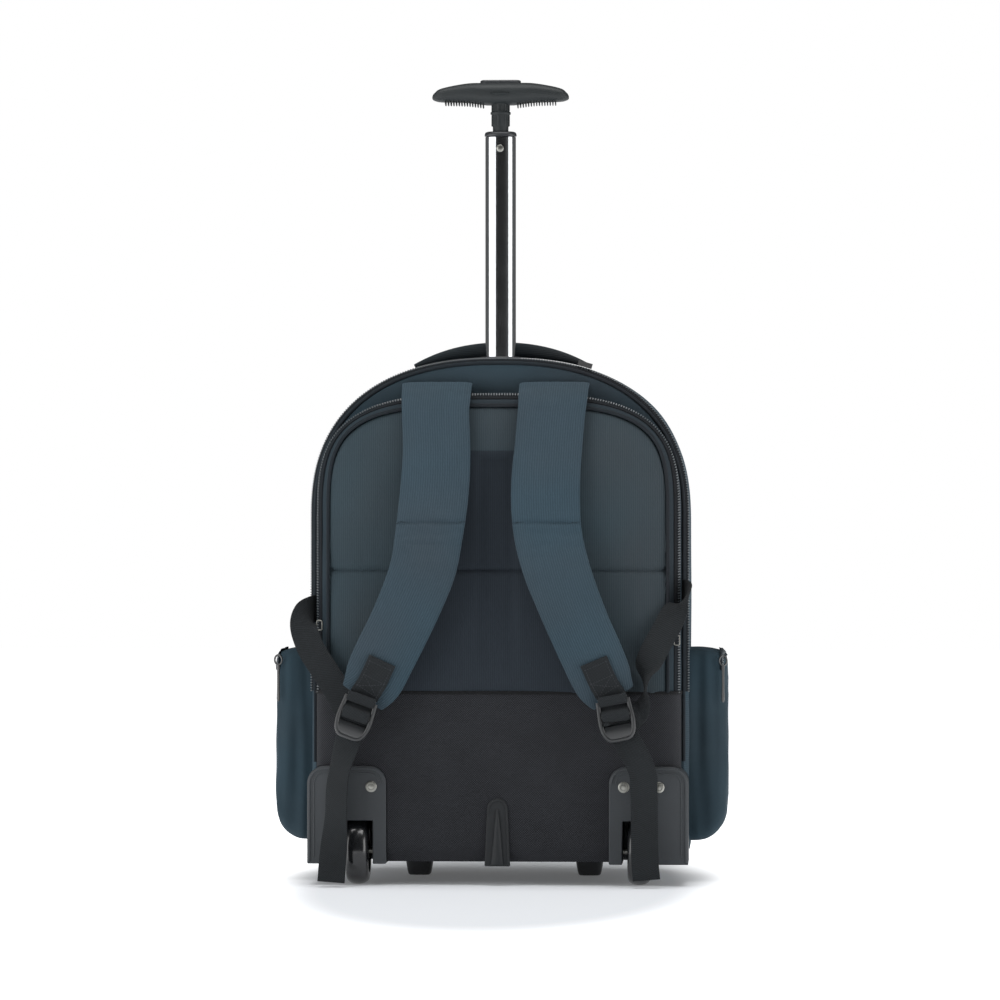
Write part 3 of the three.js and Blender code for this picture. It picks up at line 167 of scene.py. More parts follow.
# The floor glows: painted light, weakest around the bag so that its shadow fades out into white.
paint.inputs["Emission Strength"].default_value = 1.0
spot = pale.node_tree.nodes.new("ShaderNodeTexCoord")
oblong = pale.node_tree.nodes.new("ShaderNodeMapping")
oblong.inputs["Scale"].default_value = FLOOR_REACH
oblong.inputs["Location"].default_value = (0, -PANEL_PLANE * FLOOR_REACH[1], 0)
away = pale.node_tree.nodes.new("ShaderNodeVectorMath")
away.operation = "LENGTH"
painted_glow = pale.node_tree.nodes.new("ShaderNodeMapRange")
painted_glow.interpolation_type = "SMOOTHSTEP"
painted_glow.inputs["From Min"].default_value = FLOOR_NEAR
painted_glow.inputs["From Max"].default_value = FLOOR_FAR
painted_glow.inputs["To Min"].default_value = FLOOR_PAINTED_GLOW
pale.node_tree.links.new(spot.outputs["Object"], oblong.inputs["Vector"])
pale.node_tree.links.new(oblong.outputs["Vector"], away.inputs[0])
pale.node_tree.links.new(away.outputs["Value"], painted_glow.inputs["Value"])
pale.node_tree.links.new(painted_glow.outputs["Result"], paint.inputs["Emission Color"])
floor_mesh.materials.append(pale)
floor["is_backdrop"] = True

# Back panel: teal ribbed polyester over foam, quilted by one seam across it, with a shallow channel down the
# middle for air. Between the straps, from 0.42 m down, its colour is darker: painted shade where the straps
# shadow it. It is sewn into the rear compartment's edge.
SHARP_ANGLE = math.radians(42)
RIB_PITCH = 0.0021
REAR_ARCH = {"half_width": 0.165, "top": 0.466, "shoulder": 0.114, "power": 3.8}
PANEL_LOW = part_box("back_panel")[0].z
PANEL_INSET = 0.0024
PANEL_CROWN = 0.0045
PANEL_EDGE = 0.012
PANEL_SEAM = 0.306
SEAM_WIDTH = 0.0022
SEAM_DEPTH = 0.003
CHANNEL_TOP = 0.421
CHANNEL_HALF = 0.021
CHANNEL_DEPTH = 0.004
PANEL_WALL = 0.003
TEAL = (0.044, 0.066, 0.082)
GREYER = (1.07, 0.96, 0.93)
BLUER = (0.93, 1.04, 1.07)
TEAL_SHADE = (0.024, 0.037, 0.047)
PANEL_TEAL = (0.044, 0.061, 0.071)
PANEL_SHADE = (0.024, 0.034, 0.041)
# Painted shade on the back panel: darker colours between the straps from 0.42 m down, widening downwards.
STRAP_SHADOW_TEAL = (0.0268, 0.034, 0.0433)
STRAP_SHADOW_DARK = (0.0140, 0.019, 0.0248)
STRAP_SHADOW_TOP = 0.4226
STRAP_SHADOW_HALF = 0.060
STRAP_SHADOW_FLARE = 1.17


class Signal:
    """A value that varies over a surface. Python's operators on a number add Math nodes."""

    def __init__(self, finish, socket):
        self.finish = finish
        self.socket = socket

    def calc(self, operation, first, second):
        return self.finish.node("ShaderNodeMath", {"operation": operation}, {0: first, 1: second})

    def __add__(self, other):
        return self.calc("ADD", self, other)

    def __radd__(self, other):
        return self.calc("ADD", other, self)

    def __sub__(self, other):
        return self.calc("SUBTRACT", self, other)

    def __rsub__(self, other):
        return self.calc("SUBTRACT", other, self)

    def __mul__(self, other):
        return self.calc("MULTIPLY", self, other)

    def __rmul__(self, other):
        return self.calc("MULTIPLY", other, self)

    def __pow__(self, other):
        return self.calc("POWER", self, other)

    def __abs__(self):
        return self.calc("ABSOLUTE", self, 0)

    def past(self, edge, width):
        """Rises from 0 to 1 over a width beyond an edge."""
        settings = {"operation": "DIVIDE", "use_clamp": True}
        return self.finish.node("ShaderNodeMath", settings, {0: self - edge, 1: width})

    def wave(self, pitch):
        """Rises and falls between 0 and 1 once in each pitch."""
        return self.calc("SINE", self * (2 * math.pi / pitch), 0) * 0.5 + 0.5


class Finish:
    """A material built node by node."""

    def __init__(self, name):
        self.material = bpy.data.materials.new(name)
        self.material.use_nodes = True
        self.tree = self.material.node_tree
        self.tree.nodes.clear()

    def node(self, kind, settings=None, values=None, output=0):
        made = self.tree.nodes.new(kind)
        for key, value in (settings or {}).items():
            setattr(made, key, value)
        for key, value in (values or {}).items():
            if isinstance(value, Signal):
                self.tree.links.new(value.socket, made.inputs[key])
            else:
                made.inputs[key].default_value = value
        return Signal(self, made.outputs[output]) if made.outputs else None

    def cloth(self):
        """Metres across and along the cloth, from the piece's own UV map."""
        place = self.node("ShaderNodeUVMap", {"uv_map": "cloth"})
        return [self.node("ShaderNodeSeparateXYZ", {}, {0: place}, axis) for axis in ("X", "Y")]

    def speckle(self, size, detail=2.0):
        """Soft noise between 0 and 1, with blotches of about that size."""
        place = self.node("ShaderNodeTexCoord", {}, {}, "Object")
        return self.node("ShaderNodeTexNoise", {}, {"Vector": place, "Scale": 1 / size, "Detail": detail})

    def between(self, share, low, high):
        """A mix of two colours, each a tuple or a colour that varies itself."""
        low, high = (colour if isinstance(colour, Signal) else (*colour, 1) for colour in (low, high))
        return self.node("ShaderNodeMix", {"data_type": "RGBA"}, {0: share, 6: low, 7: high}, 2)

    def tinted(self, share, colour, low, high):
        """A mix of one colour with itself, each channel multiplied by its share of low or high."""
        return self.between(share, *(tuple(c * k for c, k in zip(colour, tint)) for tint in (low, high)))

    def surface(self, colour, roughness, relief=None, **constants):
        """Joins colour, roughness and a relief in metres to the shader, with its other values by name."""
        values = {"Base Color": colour, "Roughness": roughness}
        if relief is not None:
            bump = {"Strength": 1.0, "Distance": 1.0, "Height": relief}
            values["Normal"] = self.node("ShaderNodeBump", {}, bump)
        values.update({key.replace("_", " "): value for key, value in constants.items()})
        shader = self.node("ShaderNodeBsdfPrincipled", {}, values)
        self.node("ShaderNodeOutputMaterial", {}, {"Surface": shader})
        return self


def ribbed_cloth(name, light, shade, rib=RIB_PITCH, weft=0.0012, relief=0.00016, crumple=0.0009, strap_shadow=None):
    """Cloth woven with fine ribs along it, a little uneven in dye and never quite flat. Painted shade, where
    given, has its own two darker colours, and covers the area that it gives for a place across and along the
    cloth."""
    finish = Finish(name)
    across, along = finish.cloth()
    ribs = across.wave(rib)
    wefts = along.wave(weft)
    thread = ribs * 0.65 + wefts * 0.35
    dye = finish.speckle(0.05, 4.0)
    slack = finish.speckle(0.035, 1.0)
    grain = finish.speckle(0.0016, 1.0)
    share = thread * 0.7 + dye * 0.3 + grain * 0.1
    cast = finish.speckle(0.11, 1.0).past(0.35, 0.3)
    light = finish.tinted(cast, light, GREYER, BLUER)
    height = thread * relief + slack * crumple + grain * (relief * 0.4)
    colour = finish.between(share, shade, light)
    # Painted shade: a darker pair of colours over the given area.
    if strap_shadow:
        shadow_light, shadow_dark, area = strap_shadow
        colour = finish.between(area(across, along), colour, finish.between(share, shadow_dark, shadow_light))
    return finish.surface(
        colour, 0.78 + grain * 0.1, height, Sheen_Weight=0.08, Sheen_Roughness=0.4,
        Sheen_Tint=(0.45, 0.62, 0.74, 1), Specular_IOR_Level=0.14,
    )


def running(points):
    """Lengths along a line, from its start to each of its points."""
    lengths = [0.0]
    for before, after in zip(points, points[1:]):
        lengths.append(lengths[-1] + (after - before).length)
    return lengths


def evenly(points, count, closed=False):
    """The same line, with count points in equal steps."""
    line = list(points) + ([points[0]] if closed else [])
    marks = running(line)
    steps = count if closed else count - 1
    result = []
    at = 0
    for step in range(count):
        target = marks[-1] * step / steps
        while at < len(marks) - 2 and marks[at + 1] < target:
            at += 1
        span = max(marks[at + 1] - marks[at], 1e-9)
        result.append(line[at].lerp(line[at + 1], min((target - marks[at]) / span, 1)))
    return result


def smooth_line(points, steps):
    """A Catmull-Rom curve through the points, with that many steps between each two."""
    ends = [points[0] * 2 - points[1], *points, points[-1] * 2 - points[-2]]
    curve = []
    for a, b, c, d in zip(ends, ends[1:], ends[2:], ends[3:]):
        for step in range(steps):
            t = step / steps
            bend = (2 * a - 5 * b + 4 * c - d) * t**2 + (3 * b - a - 3 * c + d) * t**3
            curve.append(0.5 * (2 * b + (c - a) * t + bend))
    return [*curve, points[-1].copy()]


def skinned(name, rings, closed=True, wrapped=False, capped=False, flat_map=False):
    """A mesh over rings of points, with a UV map in metres of its cloth. A wrapped one joins its last ring to
    its first, a capped one has both end rings filled, or with "end" only its last."""
    shape = bmesh.new()
    cloth = shape.loops.layers.uv.new("cloth")
    rows = [[shape.verts.new(point) for point in ring] for ring in rings]
    count = len(rings[0])
    across = [running([*ring, ring[0]]) for ring in rings]
    along = [running([*column, column[0]]) for column in zip(*rings)]
    for r in range(len(rings) if wrapped else len(rings) - 1):
        for c in range(count if closed else count - 1):
            s, d = (r + 1) % len(rings), (c + 1) % count
            face = shape.faces.new((rows[r][c], rows[r][d], rows[s][d], rows[s][c]))
            face.smooth = True
            spots = ((r, c, r), (r, c + 1, r), (s, c + 1, r + 1), (s, c, r + 1))
            for loop, (ring, column, step) in zip(face.loops, spots):
                place = loop.vert.co
                measured = (across[ring][column], along[column % count][step])
                loop[cloth].uv = (place.x, place.z) if flat_map else measured
    if capped:
        for row in (rows[-1],) if capped == "end" else (rows[0], rows[-1]):
            shape.faces.new(row).smooth = True
    bmesh.ops.recalc_face_normals(shape, faces=shape.faces)
    mesh = bpy.data.meshes.new(name)
    shape.to_mesh(mesh)
    shape.free()
    return mesh


def unsettled(mesh, size, depth, seed=0):
    """Moves a mesh in and out along its normals by smooth noise, as slack cloth lies."""
    normals = [vertex.normal.copy() for vertex in mesh.vertices]
    for vertex, normal in zip(mesh.vertices, normals):
        vertex.co += normal * depth * noise.noise(vertex.co / size + Vector((seed, 0, 0)))
    return mesh


def piece(name, mesh, finish, body, replaced=()):
    """Puts a mesh in the scene as a piece that rides on a body, in place of the nodes that it replaces."""
    made = bpy.data.objects.new(name, mesh)
    bpy.context.collection.objects.link(made)
    mesh.materials.clear()
    mesh.materials.append(finish.material)
    mesh.set_sharp_from_angle(angle=SHARP_ANGLE)
    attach(made, body)
    if replaced:
        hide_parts(*replaced)
    return made


def thickened(made, thickness, side):
    """Gives a sheet its thickness: side 1 adds it outside, -1 inside."""
    wall_of = made.modifiers.new("wall", "SOLIDIFY")
    wall_of.thickness = thickness
    wall_of.offset = side
    return made


def arch_height(arch, x, grow=0.0):
    share = min(abs(x) / (arch["half_width"] + grow), 1)
    rise = (arch["shoulder"] + grow) * (1 - share ** arch["power"]) ** (1 / arch["power"])
    return arch["top"] - arch["shoulder"] + rise


def arch_line(arch, grow, low, steps=240):
    """The arch from its right foot at the height low, over the top, to its left foot."""
    width, rise = arch["half_width"] + grow, arch["shoulder"] + grow
    spring = arch["top"] - arch["shoulder"]
    points = [Vector((width, low))]
    for step in range(steps + 1):
        angle = math.pi * step / steps
        x = width * math.copysign(abs(math.cos(angle)) ** (2 / arch["power"]), math.cos(angle))
        points.append(Vector((x, spring + rise * max(math.sin(angle), 0) ** (2 / arch["power"]))))
    return [*points, Vector((-width, low))]


def ramp(value):
    """A smooth step from 0 to 1."""
    value = min(max(value, 0), 1)
    return value * value * (3 - 2 * value)


def panel_relief(x, z):
    half = REAR_ARCH["half_width"] - PANEL_INSET
    from_edge = min(half - abs(x), arch_height(REAR_ARCH, x, -PANEL_INSET) - z, z - PANEL_LOW + PANEL_EDGE)
    crown = PANEL_CROWN * (1 - math.exp(-max(from_edge, 0) / PANEL_EDGE))
    seam = SEAM_DEPTH * math.exp(-(((z - PANEL_SEAM) / SEAM_WIDTH) ** 2))
    pads = 0.0015 * math.exp(-(((z - PANEL_SEAM) / (8 * SEAM_WIDTH)) ** 2))
    inside = ramp((CHANNEL_TOP - z) / 0.008) * ramp((z - PANEL_LOW) / 0.05)
    channel = CHANNEL_DEPTH * inside * ramp((CHANNEL_HALF - abs(x)) / 0.008)
    slack = 0.0012 * noise.noise(Vector((x * 15, 3, z * 12)))
    return PANEL_PLANE - crown + seam + pads + channel + slack


def strap_shadow_area(across, along):
    """Painted shade between the straps, where they shadow the panel; it widens downwards."""
    down = STRAP_SHADOW_TOP - along
    return down.past(0, 0.0012) * (STRAP_SHADOW_HALF + down * down * STRAP_SHADOW_FLARE - abs(across)).past(0, 0.006)


teal_ribbed = ribbed_cloth("teal_ribbed_cloth", TEAL, TEAL_SHADE)
# The panel's colour is darker between the straps: painted shade where they shadow it.
panel_strap_shadow = (STRAP_SHADOW_TEAL, STRAP_SHADOW_DARK, strap_shadow_area)
panel_cloth = ribbed_cloth("back_panel_cloth", PANEL_TEAL, PANEL_SHADE, strap_shadow=panel_strap_shadow)
columns = []
for column in range(161):
    x = (REAR_ARCH["half_width"] - PANEL_INSET) * math.sin(math.pi / 2 * (column / 80 - 1))
    top = arch_height(REAR_ARCH, x, -PANEL_INSET)
    heights = [PANEL_LOW + (top - PANEL_LOW) * row / 130 for row in range(131)]
    columns.append([Vector((x, panel_relief(x, z), z)) for z in heights])
pad = skinned("back_panel_pad", columns, closed=False, flat_map=True)
back_panel = piece("back_panel_pad", pad, panel_cloth, "bag", ["back_panel"])
thickened(back_panel, PANEL_WALL, -1)

# Base band: coarse black ballistic cloth, double at its turned top edge, wrapped over the foot of the rear
# compartment from side to side and under it. It is cut out where the wheel housings are screwed on.
BALLISTIC = (0.035, 0.037, 0.043)
BALLISTIC_SHADE = (0.0025, 0.003, 0.004)
BALLISTIC_PITCH = 0.0023
BAG_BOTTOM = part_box("base_panel")[0].z
BAND_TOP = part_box("base_panel")[1].z
BAND_BOW = 0.002
BAND_HEM = 0.006
BAND_CORNER = [
    (0.1778, 0.03), (0.1776, 0.018), (0.1754, 0.0105), (0.171, 0.005), (0.164, 0.0012), (0.154, -0.0005),
    (0.13, -0.0012), (0.07, -0.0016),
]


def basket_cloth(name, light, shade, pitch):
    """Heavy plain weave whose threads stand out as a grid of small squares."""
    finish = Finish(name)
    across, along = finish.cloth()
    over, under = across.wave(pitch), along.wave(pitch)
    check = (over * under + (1 - over) * (1 - under)).past(0.2, 0.6)
    dye = finish.speckle(0.04, 4.0)
    slack = finish.speckle(0.05, 1.0)
    share = check * 0.75 + dye * 0.35 - 0.05
    height = check * 0.00028 + slack * 0.0009
    colour = finish.between(share, shade, light)
    return finish.surface(colour, 0.72 + dye * 0.12, height, Sheen_Weight=0.03, Specular_IOR_Level=0.2)


def mirrored_line(points):
    """A line given for one side, from its outer end inwards, made whole on both sides."""
    right = [Vector(point) for point in points]
    left = [Vector((-point[0], *point[1:])) for point in reversed(points)]
    return right + left


def swept(name, points, across, profile, wrapped=False, sizes=None):
    """A bar along a line. Across gives, for the line or each point, where the profile's first axis lies."""
    rings = []
    last = len(points) - 1
    for i, point in enumerate(points):
        before = points[i - 1] if i or wrapped else point
        after = points[i + 1] if i < last else (points[0] if wrapped else point)
        along = (after - before).normalized()
        side = Vector(across[i] if isinstance(across, list) else across)
        side = (side - along * side.dot(along)).normalized()
        out = side.cross(along)
        wide, thick = sizes[i] if sizes else (1, 1)
        rings.append([point + side * (a * wide) + out * (b * thick) for a, b in profile])
    return skinned(name, rings, wrapped=wrapped, capped=not wrapped)


def oval(width, thick, sides=12, power=2.0):
    """A closed profile that goes from an ellipse, power 2, towards a rectangle."""
    points = []
    for side in range(sides):
        angle = 2 * math.pi * (side + 0.5) / sides
        a, b = math.cos(angle), math.sin(angle)
        a, b = (math.copysign(abs(v) ** (2 / power), v) for v in (a, b))
        points.append((a * width / 2, b * thick / 2))
    return points


def cut_away(mesh, cutters):
    """Takes closed cutter meshes out of a closed mesh."""
    target = bpy.data.objects.new("target", mesh)
    bpy.context.collection.objects.link(target)
    tools = []
    for cutter in cutters:
        tool = bpy.data.objects.new("cutter", cutter)
        bpy.context.collection.objects.link(tool)
        tools.append(tool)
        cut = target.modifiers.new("cut", "BOOLEAN")
        cut.operation = "DIFFERENCE"
        cut.solver = "EXACT"
        cut.object = tool
    view_layer = bpy.context.evaluated_depsgraph_get()
    result = bpy.data.meshes.new_from_object(target.evaluated_get(view_layer))
    result.name = mesh.name
    for used in [target, *tools]:
        bpy.data.objects.remove(used)
    return result


HOUSING_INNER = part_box("wheel_housing_right")[0].x
HOUSING_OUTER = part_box("wheel_housing_right")[1].x
HOUSING_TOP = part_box("wheel_housing_right")[1].z
HOUSING_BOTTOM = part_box("wheel_housing_right")[0].z
HOUSING_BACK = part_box("wheel_housing_right")[0].y
HOUSING_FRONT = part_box("wheel_housing_right")[1].y
HOUSING_CORNER = 0.017


def housing_outline(side, inset=0.0, drop=0.0, steps=8):
    """A housing seen from behind: square below, its two upper corners round."""
    inner, outer = HOUSING_INNER + inset, HOUSING_OUTER - inset
    top, corner = HOUSING_TOP - inset, HOUSING_CORNER - inset
    points = [(inner, HOUSING_BOTTOM + inset - drop), (outer, HOUSING_BOTTOM + inset - drop)]
    for centre, start in ((outer - corner, 0), (inner + corner, math.pi / 2)):
        for step in range(steps + 1):
            angle = start + math.pi / 2 * step / steps
            points.append((centre + corner * math.cos(angle), top - corner + corner * math.sin(angle)))
    return [(side * x, z) for x, z in points]


def prism(name, outline, low_y, high_y):
    """A closed block with an outline across X and up Z, between two depths."""
    return skinned(name, [[Vector((x, y, z)) for x, z in outline] for y in (low_y, high_y)], capped=True)


def housing_cutters():
    """Room for the two housings, with a gap of a few tenths of a millimetre round them."""
    gap = 0.0003
    return [
        prism("room", housing_outline(side, -gap, 0.05), HOUSING_BACK - 0.05, HOUSING_FRONT + gap)
        for side in (-1, 1)
    ]


BAND_WALL = 0.0018
FLOOR_FRONT = PANEL_PLANE + 0.0297
corner = smooth_line([Vector(point) for point in BAND_CORNER], 5)
section = evenly(mirrored_line([tuple(point) for point in corner]), 220)
columns = []
for point in section:
    outer, inner = [], []
    for step in range(41):
        height = BAG_BOTTOM + (BAND_TOP - BAG_BOTTOM) * step / 40
        share = step / 40
        out = BAND_BOW * math.sin(math.pi * share) + 0.0009 * ramp((height - BAND_TOP + BAND_HEM) / 0.001)
        tuck = 0.006 * (1 - ramp(share / 0.08))
        slack = 0.0008 * noise.noise(Vector((point.x * 14, 9, height * 14)))
        y = PANEL_PLANE + point.y - out * (1 - abs(point.x) * 3.6) + tuck + slack
        x = point.x * (1 - tuck * 0.8)
        outer.append(Vector((x, y, height)))
        inner.append(Vector((x * (1 - BAND_WALL / 0.18), max(y + BAND_WALL, PANEL_PLANE + 0.0012), height)))
    columns.append(outer + inner[::-1])
band = cut_away(skinned("base_band", columns, capped=True), housing_cutters())
ballistic = basket_cloth("ballistic_cloth", BALLISTIC, BALLISTIC_SHADE, BALLISTIC_PITCH)
piece("base_band", band, ballistic, "bag", ["base_panel"])
# A near-black strip along the band's top edge stands for the shade under its turned edge: a painted shadow.
lip = [column[40] + Vector((0, -0.0003, 0.0002)) for column in columns]
edge_shadow_finish = basket_cloth("band_binding", (0.009, 0.01, 0.012), (0.004, 0.0045, 0.005), 0.0012)
edge_shadow = swept("band_binding", lip, (0, 1, 0), oval(0.0022, 0.0034, 10, 3))
piece("band_binding", edge_shadow, edge_shadow_finish, "bag")
FLOOR_HALF = HOUSING_INNER - 0.0005
floor_rings = [
    [Vector((x, y, BAG_BOTTOM + lift)) for x, y in (
        (-FLOOR_HALF, PANEL_PLANE + 0.008), (FLOOR_HALF, PANEL_PLANE + 0.008),
        (FLOOR_HALF, FLOOR_FRONT), (-FLOOR_HALF, FLOOR_FRONT))]
    for lift in (0.0002, 0.002)
]
piece("base_floor", skinned("base_floor", floor_rings, capped=True), ballistic, "bag")

# Rear compartment: a teal gusset that swells round the back panel, corded at its edge, with a black coil zip
# all round for the laptop sleeve; the coil teeth of all the zips are coloured grey, a painted highlight. Its
# two sliders rest low on the sides.
REAR_PROFILE = [(0.0, 0.08), (0.12, 0.4), (0.32, 0.76), (0.58, 0.96), (1.0, 1.0)]
REAR_SWELL = 0.0125
REAR_EDGE_POWER = 3.15
REAR_FROM = 0.0018
REAR_LENGTH = 0.0297 - REAR_FROM
GUSSET_WALL = 0.0018
CORD_RADIUS = 0.0018
LAPTOP_ZIP = (0.14, 0.4)
ZIP_CLEAR = 0.0005
ZIP_TAPE = 0.0009
TOOTH_PITCH = 0.0026
TOOTH_SIZE = (0.0013, 0.0019, 0.0013)
DEEP_TEAL = (0.031, 0.043, 0.052)
DEEP_SHADE = (0.016, 0.023, 0.029)
CORD_COLOUR = (0.021, 0.026, 0.031)
CORD_SHADE = (0.010, 0.012, 0.015)
TAPE_COLOUR = (0.016, 0.018, 0.021)
TAPE_SHADE = (0.006, 0.007, 0.0085)
# The coil teeth are black; this grey is a painted highlight along them.
TOOTH_HIGHLIGHT_GREY = (0.10, 0.115, 0.125)


def plastic(name, colour, roughness=0.42, grain=0.0009, relief=0.00002, coat=0.0):
    """Moulded plastic with a fine texture, and a little uneven in its gloss."""
    finish = Finish(name)
    fine = finish.speckle(grain, 3.0)
    broad = finish.speckle(0.03, 3.0)
    shade = finish.tinted(broad * 0.6 + fine * 0.4, colour, (0.72,) * 3, (1.25,) * 3)
    gloss = roughness + broad * 0.14 - 0.07
    return finish.surface(shade, gloss, fine * relief, Coat_Weight=coat, Coat_Roughness=0.12)


def at_depth(line, y):
    return [Vector((point.x, PANEL_PLANE + y, point.y)) for point in line]


def rear_section(depth_and_swell, grow, low, count):
    """The rear gusset's open arch at a share of its depth, as wide as its swell there."""
    depth, swell = depth_and_swell
    arch = {**REAR_ARCH, "power": REAR_ARCH["power"] + (REAR_EDGE_POWER - REAR_ARCH["power"]) * swell}
    line = evenly(arch_line(arch, swell * REAR_SWELL + grow, low), count)
    return at_depth(line, REAR_FROM + depth * REAR_LENGTH)


def walled(name, outer, inner, flat_map=False):
    """A closed shell between an outer and an inner set of rows, built across the rows."""
    columns = [list(o) + list(i)[::-1] for o, i in zip(zip(*outer), zip(*inner))]
    return skinned(name, columns, capped=True, flat_map=flat_map)


def repeated(name, lines, facings, item, pitch, finish):
    """Geometry Nodes that set one small item at every pitch along the lines, standing up along the facing
    given at each point. Returns the mesh of them all."""
    path = bpy.data.meshes.new(name)
    points = [point for line in lines for point in line]
    edges = []
    start = 0
    for line in lines:
        edges += [(start + i, start + i + 1) for i in range(len(line) - 1)]
        start += len(line)
    path.from_pydata(points, edges, [])
    up = path.attributes.new("facing", "FLOAT_VECTOR", "POINT")
    up.data.foreach_set("vector", [value for facing in facings for way in facing for value in way])
    group = bpy.data.node_groups.new(name, "GeometryNodeTree")
    for label, kind in (("Geometry", "Geometry"), ("Item", "Object"), ("Pitch", "Float")):
        group.interface.new_socket(label, in_out="INPUT", socket_type="NodeSocket" + kind)
    group.interface.new_socket("Geometry", in_out="OUTPUT", socket_type="NodeSocketGeometry")

    def step(kind, settings=None, links=None):
        made = group.nodes.new(kind)
        for key, value in (settings or {}).items():
            setattr(made, key, value)
        for key, source in (links or {}).items():
            group.links.new(source, made.inputs[key])
        return made

    given = step("NodeGroupInput").outputs
    curve = step("GeometryNodeMeshToCurve", {}, {"Mesh": given["Geometry"]}).outputs["Curve"]
    even = step("GeometryNodeResampleCurve", {"mode": "LENGTH"}, {"Curve": curve, "Length": given["Pitch"]})
    facing = step("GeometryNodeInputNamedAttribute", {"data_type": "FLOAT_VECTOR"})
    facing.inputs["Name"].default_value = "facing"
    tangent = step("GeometryNodeInputTangent").outputs[0]
    axes = {"Primary Axis": facing.outputs["Attribute"], "Secondary Axis": tangent}
    turn = step("FunctionNodeAxesToRotation", {"primary_axis": "Z", "secondary_axis": "X"}, axes)
    model = step("GeometryNodeObjectInfo", {}, {"Object": given["Item"]})
    spread = {"Points": even.outputs["Curve"], "Instance": model.outputs["Geometry"]}
    items = step("GeometryNodeInstanceOnPoints", {}, {**spread, "Rotation": turn.outputs[0]})
    real = step("GeometryNodeRealizeInstances", {}, {"Geometry": items.outputs["Instances"]})
    dressed = step("GeometryNodeSetMaterial", {}, {"Geometry": real.outputs["Geometry"]})
    dressed.inputs["Material"].default_value = finish.material
    step("NodeGroupOutput", {}, {"Geometry": dressed.outputs["Geometry"]})

    carrier = bpy.data.objects.new(name, path)
    model_object = bpy.data.objects.new(name + "_item", item)
    for made in (carrier, model_object):
        bpy.context.collection.objects.link(made)
    rows = carrier.modifiers.new("rows", "NODES")
    rows.node_group = group
    given_sockets = [socket for socket in group.interface.items_tree if socket.in_out == "INPUT"]
    sockets = {socket.name: socket.identifier for socket in given_sockets}
    rows[sockets["Item"]] = model_object
    rows[sockets["Pitch"]] = pitch
    view_layer = bpy.context.evaluated_depsgraph_get()
    result = bpy.data.meshes.new_from_object(carrier.evaluated_get(view_layer))
    result.name = name
    for used in (carrier, model_object):
        bpy.data.objects.remove(used)
    return result


def block(name, low, high):
    low, high = Vector(low), Vector(high)
    square = ((low.x, low.y), (high.x, low.y), (high.x, high.y), (low.x, high.y))
    rings = [[Vector((x, y, z)) for x, y in square] for z in (low.z, high.z)]
    return skinned(name, rings, capped=True)


def bar_item(length, width, height, sides=6):
    """A small rounded bar lying along X, to repeat along a line."""
    stations = [(-0.5, 0.35), (-0.3, 1.0), (0.3, 1.0), (0.5, 0.35)]
    ring = oval(width, height, sides)
    rings = [[Vector((x * length, a * g, b * g)) for a, b in ring] for x, g in stations]
    return skinned("bar", rings, capped=True)


def outward(line, centre_z):
    """Which way a line round the bag faces: away from its middle, in its own plane."""
    facing = []
    for i, point in enumerate(line):
        along = line[min(i + 1, len(line) - 1)] - line[max(i - 1, 0)]
        side = Vector((along.z, 0, -along.x)).normalized()
        facing.append(side if side.dot(point - Vector((0, point.y, centre_z))) > 0 else -side)
    return facing


def zip_round(name, section, shares, low, count, nodes):
    """A zip strip on a gusset, between two shares of its depth: woven tapes and two rows of coil teeth."""
    curve = smooth_line([Vector(row) for row in section["profile"]], 8)

    def swell_at(share):
        for before, after in zip(curve, curve[1:]):
            if after.x >= share:
                return before.y + (after.y - before.y) * (share - before.x) / (after.x - before.x)
        return curve[-1].y

    start, end = shares
    steps = [start + (end - start) * step / 4 for step in range(5)]
    lift = [0.0, 0.0003, 0.0006, 0.0003, 0.0]
    rows = [(s, swell_at(s)) for s in steps]
    outer = [section["ring"](row, ZIP_CLEAR + ZIP_TAPE + up, low, count) for row, up in zip(rows, lift)]
    inner = [section["ring"](row, ZIP_CLEAR, low, count) for row in rows]
    piece(name, walled(name, outer, inner), tape, "bag", nodes)
    middle = outer[2]
    facing = outward(middle, 0.3)
    slope = [(outer[3][i] - outer[1][i]).normalized() for i in range(count)]
    lines, ups = [], []
    for shift in (-0.00075, 0.00075):
        lines.append([point + slope[i] * shift + facing[i] * 0.0002 for i, point in enumerate(middle)])
        ups.append([(facing[i] - slope[i] * facing[i].dot(slope[i])).normalized() for i in range(count)])
    teeth = repeated(name + "_teeth", lines, ups, bar_item(*TOOTH_SIZE), TOOTH_PITCH, coil)
    piece(name + "_teeth", teeth, coil, "bag")


deep_teal = ribbed_cloth("deep_teal_cloth", DEEP_TEAL, DEEP_SHADE, crumple=0.0014)
cording = ribbed_cloth("corded_edge", CORD_COLOUR, CORD_SHADE, rib=0.0016, crumple=0.0002)
tape = ribbed_cloth("zip_tape", TAPE_COLOUR, TAPE_SHADE, rib=0.0011, crumple=0.0003)
# The teeth's grey colour is a painted highlight on black coil.
coil = plastic("coil_teeth", TOOTH_HIGHLIGHT_GREY, 0.3, 0.002, coat=0.3)
ABOVE_HOUSING = HOUSING_TOP + 0.0008
REAR_COUNT = 260
rear_rows = smooth_line([Vector(row) for row in REAR_PROFILE], 5)
outer = [rear_section(row, 0, ABOVE_HOUSING, REAR_COUNT) for row in rear_rows]
inner = [rear_section(row, -GUSSET_WALL, ABOVE_HOUSING, REAR_COUNT) for row in rear_rows]
rear_gusset = unsettled(walled("rear_gusset_cloth", outer, inner), 0.045, 0.0008, 4)
piece("rear_gusset_cloth", rear_gusset, deep_teal, "bag", ["rear_gusset"])
edge = at_depth(evenly(arch_line(REAR_ARCH, 0, BAND_TOP + 0.0008), REAR_COUNT), -0.0003)
rear_cord = swept("rear_cord", edge, (0, 1, 0), oval(2 * CORD_RADIUS, 2 * CORD_RADIUS, 10))
